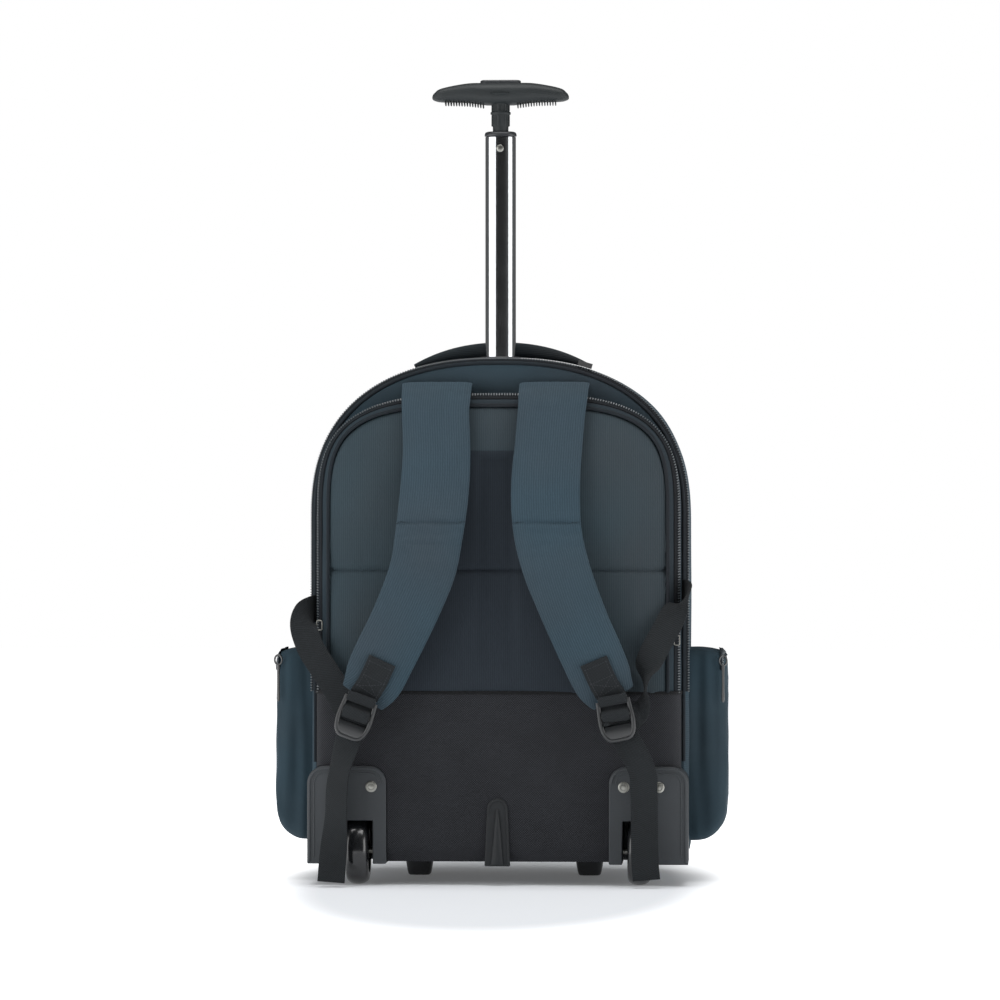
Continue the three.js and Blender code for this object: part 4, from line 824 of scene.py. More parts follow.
piece("rear_cord", rear_cord, cording, "bag", ["rear_piping"])
rear = {"profile": REAR_PROFILE, "ring": rear_section}
zip_round("laptop_zip_tape", rear, LAPTOP_ZIP, BAND_TOP + 0.0005, REAR_COUNT, ["laptop_zip"])

# Main compartment: the teal cloth between its corded edge and the rear compartment, a deep gusset that swells
# at both ends, and a zip just in front of its rear edge. The gusset has a hole for the pull handle's bezel.
MAIN_ARCH = {"half_width": 0.180, "top": 0.508, "shoulder": 0.150, "power": 2.4}
MAIN_PROFILE = [(0.0, 0.0), (0.06, 0.6), (0.18, 0.92), (0.45, 1.0), (0.8, 0.8), (1.0, 0.35)]
MAIN_SWELL = 0.0063
MAIN_FROM = 0.0331
MAIN_LENGTH = 0.138
MAIN_ZIP = (0.012, 0.055)
DIVIDER_AT = 0.030
FOOT_RADIUS = 0.014
MAIN_COUNT = 320
POLE_AT = 0.058


def full_outline(arch, grow, bottom, count):
    """The arch closed by a floor with round corners."""
    width = arch["half_width"] + grow
    line = arch_line(arch, grow, bottom + FOOT_RADIUS)
    for side, start in ((-1, math.pi), (1, 1.5 * math.pi)):
        for step in range(7):
            angle = start + math.pi / 2 * step / 6
            centre = Vector((side * (width - FOOT_RADIUS), bottom + FOOT_RADIUS))
            line.append(centre + FOOT_RADIUS * Vector((math.cos(angle), math.sin(angle))))
    return evenly(line, count, closed=True)


def main_section(depth_and_swell, grow, low, count):
    depth, swell = depth_and_swell
    line = evenly(arch_line(MAIN_ARCH, swell * MAIN_SWELL + grow, low), count)
    return at_depth(line, MAIN_FROM + depth * MAIN_LENGTH)


def oval_rings(width, depth, heights, grow=None, sides=64):
    """Level ovals round the pull handle's axis, at the given heights."""
    rings = []
    for i, height in enumerate(heights):
        more = grow[i] if grow else 0
        rings.append([
            Vector((
                (width / 2 + more) * math.cos(2 * math.pi * k / sides),
                PANEL_PLANE + POLE_AT + (depth / 2 + more) * math.sin(2 * math.pi * k / sides), height,
            )) for k in range(sides)
        ])
    return rings


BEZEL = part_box("pole_bezel")
BEZEL_WIDTH = BEZEL[1].x - BEZEL[0].x
BEZEL_DEPTH = BEZEL[1].y - BEZEL[0].y
hole_rings = oval_rings(BEZEL_WIDTH + 0.0006, BEZEL_DEPTH + 0.0006, (0.45, 0.56))
slot_hole = skinned("slot_hole", hole_rings, capped=True)
main_rows = smooth_line([Vector(row) for row in MAIN_PROFILE], 5)


def main_ring(row, wall):
    line = full_outline(MAIN_ARCH, row.y * MAIN_SWELL - wall, BAG_BOTTOM + wall, MAIN_COUNT)
    return at_depth(line, MAIN_FROM + row.x * MAIN_LENGTH)


rows = [main_ring(row, 0) for row in main_rows] + [main_ring(row, GUSSET_WALL) for row in reversed(main_rows)]
gusset = unsettled(skinned("main_gusset_cloth", rows, wrapped=True), 0.07, 0.0012, 7)
gusset = cut_away(gusset, [*housing_cutters(), slot_hole])
piece("main_gusset_cloth", gusset, teal_ribbed, "bag", ["main_gusset"])
main_edge = at_depth(full_outline(MAIN_ARCH, 0, BAG_BOTTOM, MAIN_COUNT), DIVIDER_AT + 0.001)
first = next(i for i, (a, b) in enumerate(zip(main_edge, main_edge[1:])) if a.z > ABOVE_HOUSING >= b.z)
high_edge = main_edge[first + 1:] + main_edge[:first + 1]
high_edge = [point for point in high_edge if point.z > ABOVE_HOUSING]
main_cord = swept("main_cord", high_edge, (0, 1, 0), oval(2 * CORD_RADIUS, 2 * CORD_RADIUS, 10))
piece("main_cord", main_cord, cording, "bag", ["main_piping"])
main = {"profile": MAIN_PROFILE, "ring": main_section}
zip_round("main_zip_tape", main, MAIN_ZIP, BAND_TOP + 0.0005, MAIN_COUNT, ["main_zip"])
margin = []
for share in (1.0, 0.97, 0.94, 0.9, 0.5, 0.04):
    middle_z = 0.27
    ring = []
    for point in full_outline(MAIN_ARCH, -0.0021, BAG_BOTTOM + 0.0004, MAIN_COUNT):
        sag = 0.0012 * noise.noise(Vector((point.x * 9, 2, point.y * 9))) * (1 - share) * 8
        at = Vector((point.x * share, middle_z + (point.y - middle_z) * share))
        ring.append(Vector((at.x, PANEL_PLANE + DIVIDER_AT + 0.0002 + max(min(sag, 0.0012), 0), at.y)))
    margin.append(ring)
back = [[point + Vector((0, 0.0014, 0)) for point in ring] for ring in margin]
divider = cut_away(skinned("divider_cloth", [*reversed(margin), *back], capped=True), housing_cutters())
piece("divider_cloth", divider, teal_ribbed, "bag", ["divider_panel"])

# Front panel: teal cloth that swells forward from the gusset's front edge.
FRONT_PROFILE = [(0.0, -0.03), (0.38, 0.07), (0.72, 0.3), (0.93, 0.64), (1.0, 1.0)]
FRONT_FROM = 0.1714
FRONT_BULGE = 0.036
FRONT_FLATTENING = 0.052
front_rows = []
for row in smooth_line([Vector(row) for row in FRONT_PROFILE], 5):
    drawn = row.y * FRONT_FLATTENING
    outline = full_outline(MAIN_ARCH, 0.35 * MAIN_SWELL - drawn, BAG_BOTTOM + max(drawn, 0), MAIN_COUNT)
    front_rows.append(at_depth(outline, FRONT_FROM + row.x * FRONT_BULGE))
face = front_rows[-1]
middle = Vector((0, face[0].y, 0.27))
front_rows += [[point.lerp(middle, share) + Vector((0, 0.0012 * share, 0)) for point in face] for share in
               (0.12, 0.3, 0.5, 0.7, 0.86, 0.97)]
front = unsettled(skinned("front_panel_cloth", front_rows, capped="end", flat_map=True), 0.08, 0.0016, 11)
front_panel = piece("front_panel_cloth", front, teal_ribbed, "bag", ["front_panel"])
thickened(front_panel, GUSSET_WALL, -1)

# Side pockets: bellows of a plainer, darker teal cloth, sewn on the gusset's sides and softly folded. A short
# zip runs over the top of each.
POCKET_PROFILE = [
    (0.0, 0.0, 0.0, 0.0), (0.45, 0.0, 0.01, 0.01), (0.78, 0.01, 0.06, 0.04), (0.94, 0.03, 0.13, 0.1),
    (1.0, 0.07, 0.24, 0.2),
]
POCKET_DEPTH = 0.038
POCKET_HEIGHT = 0.188
POCKET_BOTTOM = 0.040
POCKET_LENGTH = 0.104
POCKET_START = 0.048
POCKET_CORNER = 0.012
MOUTH_LOW = 0.205
POCKET_SEWN = 0.0006
POCKET_TEAL = (0.030, 0.050, 0.064)
POCKET_SHADE = (0.014, 0.025, 0.033)
plain_weave = {"rib": 0.0011, "relief": 0.00003, "crumple": 0.0034}
pocket_cloth = ribbed_cloth("pocket_cloth", POCKET_TEAL, POCKET_SHADE, **plain_weave)


def pocket_ring(side, row, sides=96):
    out, top, bottom, ends = row
    low = POCKET_BOTTOM + bottom * POCKET_HEIGHT
    high = POCKET_BOTTOM + (1 - top) * POCKET_HEIGHT
    near = POCKET_START + ends * POCKET_LENGTH
    far = POCKET_START + (1 - ends) * POCKET_LENGTH
    ring = []
    for quarter, (y, z) in enumerate(((far, high), (near, high), (near, low), (far, low))):
        centre_y = y - POCKET_CORNER if y == far else y + POCKET_CORNER
        centre_z = z - POCKET_CORNER if z == high else z + POCKET_CORNER
        for step in range(7):
            angle = math.pi / 2 * (quarter + step / 6)
            turn = POCKET_CORNER * Vector((math.cos(angle), math.sin(angle)))
            ring.append(Vector((centre_y, centre_z)) + turn)
    points = []
    for point in evenly(ring, sides, closed=True):
        depth = (point.x - MAIN_FROM) / MAIN_LENGTH
        swell = max(b.y + (a.y - b.y) * (depth - b.x) / (a.x - b.x) for b, a in zip(main_rows, main_rows[1:])
                    if b.x <= depth <= a.x)
        foot = MAIN_ARCH["half_width"] + swell * MAIN_SWELL - POCKET_SEWN
        reach = foot + out * (MAIN_ARCH["half_width"] + POCKET_DEPTH + MAIN_SWELL - foot)
        points.append(Vector((side * reach, PANEL_PLANE + point.x, point.y)))
    return points


for side, label in ((-1, "left"), (1, "right")):
    shares = smooth_line([Vector(row) for row in POCKET_PROFILE], 6)
    rings = [pocket_ring(side, row) for row in shares]
    last = rings[-1]
    centre = sum(last, Vector()) / len(last)
    rings += [[point.lerp(centre, share) for point in last] for share in (0.25, 0.5, 0.75, 0.95)]
    for number, ring in enumerate(rings):
        held = ramp(number / 5)
        for point in ring:
            fold = noise.noise(Vector((side * 5, point.y * 42, point.z * 7)))
            fine = noise.noise(Vector((side * 9, point.y * 90, point.z * 30)))
            point.x += side * held * min(0.0045 * fold + 0.001 * fine - 0.002, 0.0)
            point.y += held * 0.0062 * noise.noise(Vector((point.x * 75, side * 3, point.z * 7)))
    mesh = skinned("pocket", rings, capped=True)
    mesh.name = f"side_pocket_cloth_{label}"
    piece(mesh.name, mesh, pocket_cloth, "bag", [f"side_pocket_{label}"])
    mouth = [(point, beyond) for point, beyond in zip(rings[17], rings[19]) if point.z > MOUTH_LOW]
    mouth.sort(key=lambda pair: pair[0].y)
    centre = Vector((side * MAIN_ARCH["half_width"], PANEL_PLANE + POCKET_START + POCKET_LENGTH / 2, 0.16))
    seat, ways, up = [], [], []
    for point, beyond in mouth:
        across = (beyond - point).normalized()
        face = Vector((side * 0.4, (point.y - centre.y) * 4, 1)).normalized()
        seat.append(point + face * 0.0007)
        ways.append(across)
        up.append(face)
    strip = swept(f"pocket_zip_{label}", seat, ways, oval(0.009, 0.0008, 12, 6))
    piece(strip.name, strip, tape, "bag")
    teeth_rows = [[point + way * shift + face * 0.0005 for point, way, face in zip(seat, ways, up)]
                  for shift in (-0.0008, 0.0008)]
    tooth = bar_item(*TOOTH_SIZE)
    teeth = repeated(f"pocket_teeth_{label}", teeth_rows, [up, up], tooth, TOOTH_PITCH, coil)
    piece(teeth.name, teeth, coil, "bag")

# Pull handle: a polished oval tube that slides out of a black bezel on the bag's top, from an outer tube
# hidden in the bag. A black collar closes its upper end, and a rivet head shows near it.
POLE_WIDTH = 0.030
POLE_DEPTH = 0.022
POLE_WALL = 0.0015
CHROME = (0.62, 0.64, 0.66)
NICKEL = (0.31, 0.31, 0.285)
BLACK_PLASTIC = (0.020, 0.022, 0.025)


def metal(name, colour, roughness, streak=0.0):
    """Plated metal, with faint lengthwise streaks from polishing."""
    finish = Finish(name)
    place = finish.node("ShaderNodeTexCoord", {}, {}, "Object")
    long = finish.node("ShaderNodeMapping", {}, {"Vector": place, "Scale": (900, 900, 6)})
    lines = finish.node("ShaderNodeTexNoise", {}, {"Vector": long, "Scale": 1.0, "Detail": 2.0})
    smudge = finish.speckle(0.02, 3.0)
    shade = finish.between(smudge, tuple(c * 0.9 for c in colour), colour)
    return finish.surface(shade, roughness + smudge * 0.05 + lines * streak, lines * 0.000002, Metallic=1.0)


def tube(name, width, depth, low, high, wall, rim=0.0006):
    """An upright oval tube with softly rounded rims."""
    heights = (low, low + rim, low + 3 * rim, high - 3 * rim, high - rim, high)
    outer = oval_rings(width, depth, heights, (-rim, 0, 0, 0, 0, -rim))
    inner = oval_rings(width - 2 * wall, depth - 2 * wall, heights[::-1])
    return skinned(name, [*outer, *inner], wrapped=True)


def mesh_of(node, name, width, depth, wall, finish, body):
    low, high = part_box(node)
    return piece(name, tube(name, width, depth, low.z, high.z, wall), finish, body, [node])


polished = metal("polished_tube", CHROME, 0.07, 0.05)
nickel = metal("nickel_plate", NICKEL, 0.32)
black = plastic("black_plastic", BLACK_PLASTIC, 0.4, coat=0.15)
outer_low, outer_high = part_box("pole_outer_tube")
outer_width, outer_depth = outer_high.x - outer_low.x, outer_high.y - outer_low.y
mesh_of("pole_outer_tube", "outer_tube", outer_width, outer_depth, POLE_WALL, polished, "bag")
mesh_of("pole_bezel", "bezel", BEZEL_WIDTH, BEZEL_DEPTH, (BEZEL_WIDTH - POLE_WIDTH) / 2 - 0.001, black, "bag")
mesh_of("pole_inner_tube", "inner_tube", POLE_WIDTH, POLE_DEPTH, POLE_WALL, polished, "pole")
collar_low, collar_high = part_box("pole_collar")
COLLAR_HEIGHT = collar_high.z - collar_low.z
collar_rings = oval_rings(
    POLE_WIDTH + 0.0015, POLE_DEPTH + 0.0015,
    [collar_low.z + COLLAR_HEIGHT * share for share in (0, 0.08, 0.3, 0.6, 0.85, 1.0)],
    (-0.0004, 0, 0, -0.0003, -0.001, -0.0026),
)
NECK_RADIUS = 0.0086
bore_width = 2 * (NECK_RADIUS * 0.9 + 0.0003)
bore = oval_rings(bore_width, bore_width, (collar_high.z, collar_low.z))
collar = skinned("collar", [*collar_rings, *bore], wrapped=True)
piece("collar", collar, black, "pole", ["pole_collar"])


def turned(name, profile, centre, axis, sides=32, hollow=False):
    """A shape turned about an axis through the centre. Its profile goes along the axis by (radius, place). A
    hollow one closes its profile on itself, and any other is filled at both ends."""
    axis = Vector(axis)
    u = axis.orthogonal().normalized()
    v = axis.cross(u)
    circle = [2 * math.pi * k / sides for k in range(sides)]

    def spot(radius, place, angle):
        return Vector(centre) + axis * place + (u * math.cos(angle) + v * math.sin(angle)) * radius

    if hollow:
        return skinned(name, [[spot(r, p, angle) for r, p in profile] for angle in circle], wrapped=True)
    return skinned(name, [[spot(r, p, angle) for angle in circle] for r, p in profile], capped=True)


def middle_of(node):
    low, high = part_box(node)
    return (low + high) / 2


def rivet(node, name, radius, height, finish, body, recess=0.0):
    """A round head that looks backwards, domed, or with a sunk disc."""
    face = [(radius, 0.5), (radius, -0.15), (radius * 0.93, -0.38), (radius * 0.8, -0.5)]
    if recess:
        face += [(radius * 0.62, -0.5), (radius * 0.56, -0.5 + recess), (radius * 0.12, -0.5 + recess * 0.8)]
    else:
        face += [(radius * 0.5, -0.62), (radius * 0.15, -0.68)]
    profile = [(r, place * height) for r, place in face]
    piece(name, turned(name, profile, middle_of(node), (0, 1, 0)), finish, body, [node])


rivet("pole_pin", "tube_rivet", 0.0036, 0.0018, nickel, "pole")

# Grip: a moulded black T with rounded, drooping ends. Its underside has two combs of fins for the fingers,
# and a ribbed neck with a bead runs down into the tube. The release button stands proud in its top.
GRIP_SECTIONS = [
    (1.0, -0.05, 0.14, 0.3), (0.97, -0.04, 0.34, 0.55), (0.86, 0.0, 0.62, 0.78), (0.5, 0.06, 0.86, 0.95),
    (0.2, 0.0, 1.0, 1.0),
]
NECK_PROFILE = [
    (0.9, 0.0), (0.9, 0.42), (1.0, 0.44), (1.0, 0.62), (1.14, 0.64), (1.14, 0.68), (1.0, 0.7), (1.05, 0.84),
    (1.5, 0.92), (2.1, 1.0),
]
GRIP_WIDTH = 0.134
GRIP_DEPTH = 0.030
GRIP_HEIGHT = 0.022
POLE_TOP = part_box("pole_inner_tube")[1].z
GRIP_TOP = POLE_TOP + 0.053
GRIP_MIDDLE = GRIP_TOP - GRIP_HEIGHT / 2
NECK_LOW = POLE_TOP - COLLAR_HEIGHT * 3
FIN_PITCH = 0.0026
FIN_START = 0.017
FIN_END = 0.054


def grip_section(share, angle, sections):
    """A point on the grip at a share of its half length, at an angle round it."""
    for low, high in zip(sections, sections[1:]):
        if high[0] >= abs(share):
            mix = (abs(share) - low[0]) / max(high[0] - low[0], 1e-9)
            _, lift, tall, deep = low.lerp(high, mix)
            break
    across, up = math.cos(angle), math.sin(angle)
    y = POLE_AT + deep * GRIP_DEPTH * math.copysign(abs(across) ** 0.8, across) / 2
    rise = math.copysign(abs(up) ** 0.8, up)
    z = GRIP_MIDDLE + GRIP_HEIGHT * (lift + tall * rise / 2 - 0.12 * (1 - tall))
    return Vector((share * GRIP_WIDTH / 2, PANEL_PLANE + y, z))


sections = [Vector((0, 0, 1, 1)), *smooth_line([Vector(row) for row in reversed(GRIP_SECTIONS)], 8)]
stops = [math.sin(math.pi / 2 * step / 40) for step in range(-40, 41)]
turns = [2 * math.pi * k / 40 for k in range(40)]
bar = skinned("grip_bar", [[grip_section(s, a, sections) for a in turns] for s in stops], capped=True)
neck_height = GRIP_MIDDLE - NECK_LOW
neck_line = smooth_line([Vector((r * NECK_RADIUS, z * neck_height)) for r, z in NECK_PROFILE], 4)
neck = turned("neck", neck_line, (0, PANEL_PLANE + POLE_AT, NECK_LOW), (0, 0, 1), 40)
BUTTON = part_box("grip_button")


def stadium(length, depth, sides=40):
    reach = (length - depth) / 2
    points = []
    for k in range(sides):
        angle = 2 * math.pi * (k + 0.5) / sides
        x = math.copysign(reach, math.cos(angle)) + depth / 2 * math.cos(angle)
        points.append(Vector((x, PANEL_PLANE + POLE_AT + depth / 2 * math.sin(angle), 0)))
    return points


button_length, button_depth = BUTTON[1].x - BUTTON[0].x, BUTTON[1].y - BUTTON[0].y
recess = [[point + Vector((0, 0, height)) for point in stadium(button_length + 0.0008, button_depth + 0.0008)]
          for height in (BUTTON[0].z - 0.0023, GRIP_TOP + 0.02)]
bar = cut_away(bar, [skinned("recess", recess, capped=True)])
rubbery = plastic("grip_rubber", (0.005, 0.0085, 0.0098), 0.6, 0.0007, 0.00004)
piece("grip_bar", bar, rubbery, "pole", ["grip"])
piece("grip_neck", neck, rubbery, "pole")
button_rings = []
for shrink, height in ((0.0, BUTTON[0].z), (0.0, BUTTON[1].z - 0.0012), (0.0005, BUTTON[1].z - 0.0004),
                       (0.0016, BUTTON[1].z)):
    ring = stadium(button_length - 2 * shrink, button_depth - 2 * shrink)
    button_rings.append([point + Vector((0, 0, height)) for point in ring])
button = skinned("grip_push_button", button_rings, capped=True)
piece("grip_push_button", button, black, "button", ["grip_button"])
fin = bar_item(0.0012, 0.019, 0.0052, 8)
under, downs = [], []
for side in (-1, 1):
    spots = [grip_section(side * 2 * x / GRIP_WIDTH, -math.pi / 2, sections) for x in
             [FIN_START + (FIN_END - FIN_START) * k / 30 for k in range(31)]]
    under.append([point - Vector((0, 0, 0.0009)) for point in spots])
    downs.append([Vector((0, 0, -1))] * 31)
fins = repeated("grip_fins", under, downs, fin, FIN_PITCH, rubbery)
piece("grip_fins", fins, rubbery, "pole")
ribs, rib_facing = [], []
for k in range(18):
    angle = 2 * math.pi * k / 18
    away = Vector((math.cos(angle), math.sin(angle), 0))
    for low, high in ((0.45, 0.61), (0.71, 0.8)):
        foot = Vector((0, PANEL_PLANE + POLE_AT, 0)) + away * NECK_RADIUS
        heights = [NECK_LOW + neck_height * (low + (high - low) * t / 4) for t in range(5)]
        ribs.append([foot + Vector((0, 0, height)) for height in heights])
        rib_facing.append([away] * 5)
rib_item = bar_item(0.0021, 0.0011, 0.0009)
neck_ribs = repeated("neck_ribs", ribs, rib_facing, rib_item, 0.0012, rubbery)
piece("neck_ribs", neck_ribs, rubbery, "pole")

# Carry handle: a padded black crescent over the bag's top, thickest in its middle and sewn down at both ends.
CARRY_HALF_SPAN = 0.086
CARRY_WIDTH = 0.026
CARRY_THICKNESS = 0.015
CARRY_END = 0.28
CARRY_AT = 0.088
CARRY_BLACK = (0.031, 0.037, 0.041)
CARRY_SHADE = (0.011, 0.013, 0.015)
WEBBING = (0.024, 0.028, 0.031)
WEBBING_SHADE = (0.004, 0.005, 0.006)
webbing = basket_cloth("webbing_weave", WEBBING, WEBBING_SHADE, 0.0019)
carry_cloth = ribbed_cloth("carry_strap_cloth", CARRY_BLACK, CARRY_SHADE, rib=0.0018, crumple=0.0006)
handle_line = []
handle_sizes = []
for step in range(61):
    share = step / 30 - 1
    x = share * CARRY_HALF_SPAN
    top = arch_height(MAIN_ARCH, x, MAIN_SWELL) + 0.0006
    thick = CARRY_END + (1 - CARRY_END) * (1 - share**2)
    handle_line.append(Vector((x, PANEL_PLANE + CARRY_AT, top + CARRY_THICKNESS / 2 * thick)))
    handle_sizes.append((1, thick))
crescent = oval(CARRY_WIDTH, CARRY_THICKNESS, 20, 3.5)
handle = swept("carry_strap", handle_line, (0, 1, 0), crescent, sizes=handle_sizes)
carry = piece("carry_strap", handle, carry_cloth, "bag", ["carry_handle"])

# Wheel housings: matte moulded corners with a raised border, each screwed on by two nickel screws, and cut
# away where the wheel stands out. The axle's ends are riveted in their cheeks.
HOUSING_GREY = (0.031, 0.036, 0.041)
WELL_HALF = 0.0158
WHEEL_AT = 0.137
housing_grey = plastic("housing_grey", HOUSING_GREY, 0.55, 0.0011, 0.00005)
for side, label in ((-1, "left"), (1, "right")):
    wheel_x = side * WHEEL_AT
    body_block = prism("housing", housing_outline(side), HOUSING_BACK, HOUSING_FRONT)
    near, far = wheel_x - WELL_HALF, wheel_x + WELL_HALF
    room = block("room", (near, HOUSING_BACK + 0.003, -0.01), (far, PANEL_PLANE + 0.0565, 0.069))
    mouth = block("mouth", (near, HOUSING_BACK - 0.01, -0.01), (far, PANEL_PLANE, 0.063))
    housing = cut_away(body_block, [room, mouth])
    housing.name = f"housing_{label}"
    made = piece(housing.name, housing, housing_grey, "bag", [f"wheel_housing_{label}"])
    soften = made.modifiers.new("edges", "BEVEL")
    soften.width = 0.0011
    soften.segments = 3
    soften.limit_method = "ANGLE"
    soften.angle_limit = math.radians(40)
    soften.harden_normals = True
    for inset, wide, tall, name in ((0.0022, 0.0024, 0.0012, "border"), (0.0068, 0.0012, 0.0007, "line")):
        rim = evenly([Vector(point) for point in housing_outline(side, inset)][1:], 60)
        path = [Vector((point.x, HOUSING_BACK - 0.0001, point.y)) for point in rim]
        frame_mesh = swept(f"housing_{name}_{label}", path, (0, 1, 0), oval(tall * 2, wide, 10, 3))
        piece(frame_mesh.name, frame_mesh, housing_grey, "bag")
    for place in ("inner", "outer"):
        node = f"housing_screw_{label}_{place}"
        rivet(node, f"screw_{label}_{place}", 0.0054, 0.0014, nickel, "bag", recess=0.9)

# Wheels: a glossy black tyre, round like a skate's, on a moulded black hub that turns on its nickel axle.
HALF = 0.011
TYRE = (0.011, 0.012, 0.0135)
TYRE_PROFILE = [
    (0.0215, -1.0), (0.0262, -1.0), (0.0284, -0.95), (0.0302, -0.83), (0.0315, -0.64), (0.0322, -0.42),
    (0.0325, -0.15), (0.0325, 0.15), (0.0322, 0.42), (0.0315, 0.64), (0.0302, 0.83), (0.0284, 0.95),
    (0.0262, 1.0), (0.0215, 1.0), (0.021, 0.9), (0.021, -0.9),
]
HUB_PROFILE = [
    (0.0036, -0.98), (0.0078, -0.98), (0.0082, -0.5), (0.017, -0.42), (0.0178, -0.8), (0.0205, -0.84),
    (0.0207, 0.84), (0.0178, 0.8), (0.017, 0.42), (0.0082, 0.5), (0.0078, 0.98), (0.0036, 0.98),
]
AXLE_PROFILE = [
    (0.0018, -1.0), (0.003, -0.98), (0.003, -0.9), (0.003, 0.9), (0.003, 0.98), (0.0018, 1.0),
]
rubber = plastic("tyre_rubber", TYRE, 0.22, 0.004, 0.00001, coat=0.5)
for side, label in ((-1, "left"), (1, "right")):
    centre = middle_of(f"tyre_{label}")
    body = f"wheel_{label}"
    tyre = turned(f"tyre_ring_{label}", [(r, p * HALF) for r, p in TYRE_PROFILE], centre, (1, 0, 0), 96, True)
    piece(tyre.name, tyre, rubber, body, [f"tyre_{label}"])
    hub = turned(f"wheel_hub_{label}", [(r, p * HALF) for r, p in HUB_PROFILE], centre, (1, 0, 0), 64, True)
    piece(hub.name, hub, black, body, [f"hub_{label}"])
    low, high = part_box(f"axle_{label}")
    reach = (high.x - low.x) / 2
    profile = [(r, p * reach) for r, p in AXLE_PROFILE]
    axle = turned(f"wheel_axle_{label}", profile, (low + high) / 2, (1, 0, 0))
    piece(axle.name, axle, nickel, "bag", [f"axle_{label}"])

# Kick plate and feet: a moulded arch with a pointed ridge guards the foot of the back, and two tapered feet
# hold up the front.
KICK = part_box("kick_plate")
KICK_HALF = (KICK[1].x - KICK[0].x) / 2
KICK_TAPER = 0.82
RIDGE_STEPS = ((1.0, 0.0032), (0.9, 0.0014), (0.55, 0.0003), (0.12, 0.0))
KICK_GREY = (0.0045, 0.0065, 0.0085)


def pointed(half, low, high, shoulder, power, steps=24):
    """An arch outline, from a round one, power 2, to a pointed one, power near 1."""
    points = [(-half, low), (half, low)]
    for step in range(steps + 1):
        angle = math.pi * step / steps
        rise = shoulder + (1 - shoulder) * max(math.sin(angle), 0) ** power
        points.append((KICK_TAPER * half * math.cos(angle), low + (high - low) * rise))
    return points


kick_grey = plastic("kick_plate_grey", KICK_GREY, 0.6, 0.0011, 0.00005)
plate = prism("kick_arch", pointed(KICK_HALF, KICK[0].z, KICK[1].z, 0.8, 0.8), KICK[0].y + 0.003, KICK[1].y)
made = piece("kick_arch", plate, kick_grey, "bag", ["kick_plate"])
soften = made.modifiers.new("edges", "BEVEL")
soften.width = 0.0012
soften.segments = 3
soften.limit_method = "ANGLE"
soften.harden_normals = True
ridge_rings = []
for share, back in RIDGE_STEPS:
    top = KICK[0].z + (KICK[1].z - KICK[0].z) * (0.6 + 0.26 * share)
    outline = pointed(0.0066 * share, KICK[0].z + 0.002, top, 0.15, 2.2)
    ridge_rings.append([Vector((x, KICK[0].y + back, z)) for x, z in outline])
piece("kick_ridge", skinned("kick_ridge", ridge_rings, capped=True), kick_grey, "bag")
rim_line = [Vector((x, KICK[0].y + 0.003, z)) for x, z in
            pointed(KICK_HALF - 0.002, KICK[0].z + 0.001, KICK[1].z - 0.002, 0.8, 0.8)[1:]]
kick_rim = swept("kick_rim", evenly(rim_line, 60), (0, 1, 0), oval(0.0022, 0.0022, 8))
piece("kick_rim", kick_rim, kick_grey, "bag")
for label in ("left", "right"):
    low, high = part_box(f"front_foot_{label}")
    centre = (low + high) / 2
    rings = []
    for shrink, height in ((0.005, low.z), (0.0038, low.z + 0.0012), (0.0028, low.z + 0.005), (0.0, high.z)):
        shape = oval(high.x - low.x - 2 * shrink, high.y - low.y - 2 * shrink, 32, 4)
        rings.append([Vector((centre.x + a, centre.y + b, height)) for a, b in shape])
    foot = skinned(f"foot_{label}", rings, capped=True)
    piece(foot.name, foot, black, "bag", [f"front_foot_{label}"])

# Shoulder straps: foam pads covered in the ribbed teal cloth. Each is sewn in over the rear compartment,
# curves down clear of the panel, and has a stitched crease a third of the way down, with puckers under it.
# Each row is how far down and back it is, how far it stands out, where the left and the right strap's middle
# is, its width and its thickness, as shares of the sizes below.
STRAP_ROWS = [
    (0.0, 1.0, 0.0, 0.6, 0.546, 1.04, 0.5),
    (0.0, 0.575, 0.0, 0.597, 0.545, 1.03, 0.52),
    (0.015, 0.2, 0.0, 0.594, 0.543, 1.02, 0.55),
    (0.044, 0.0, 0.22, 0.593, 0.54, 1.01, 0.62),
    (0.095, 0.0, 0.34, 0.596, 0.527, 0.985, 0.75),
    (0.201, 0.0, 0.43, 0.583, 0.5, 0.985, 0.9),
    (0.296, 0.0, 0.57, 0.59, 0.477, 1.0, 1.0),
    (0.392, 0.0, 0.72, 0.615, 0.476, 1.0, 1.0),
    (0.487, 0.0, 0.86, 0.652, 0.506, 0.985, 1.0),
    (0.582, 0.0, 0.97, 0.702, 0.58, 0.965, 1.0),
    (0.677, 0.0, 1.0, 0.807, 0.687, 0.93, 1.0),
    (0.772, 0.0, 0.985, 0.937, 0.806, 0.91, 1.0),
    (0.867, 0.0, 0.905, 1.084, 0.936, 0.905, 0.95),
    (0.942, 0.0, 0.81, 1.195, 1.038, 0.86, 0.8),
    (0.994, 0.0, 0.735, 1.3, 1.135, 0.68, 0.55),
]
STRAP_WIDTH = 0.068
STRAP_THICKNESS = 0.013
STRAP_DROP = 0.306
STRAP_SPREAD = 0.100
STRAP_STAND_OFF = 0.032
STRAP_SEAM = 0.487
STRAP_SEAM_BACK = 0.0291
CREASE_HEIGHT = 0.3518
CREASE_WIDTH = 0.0017
STRAP_TEAL = (0.047, 0.073, 0.093)
STRAP_SHADE = (0.023, 0.037, 0.048)
SWELL_LIMIT = 0.0026
STRAP_PUCKERS = {
    "left": [(0.0125, 0.05, 0.0011), (0.0205, -0.03, 0.0014), (0.058, 0.0, 0.0007)],
    "right": [(0.0135, 0.02, 0.0008), (0.0215, -0.09, 0.0012), (0.036, -0.12, 0.001), (0.082, -0.16, 0.0007)],
}
PUCKER_WIDTH = 0.0016
strap_weave = {"rib": 0.0023, "weft": 0.0013, "relief": 0.00026, "crumple": 0.0007}
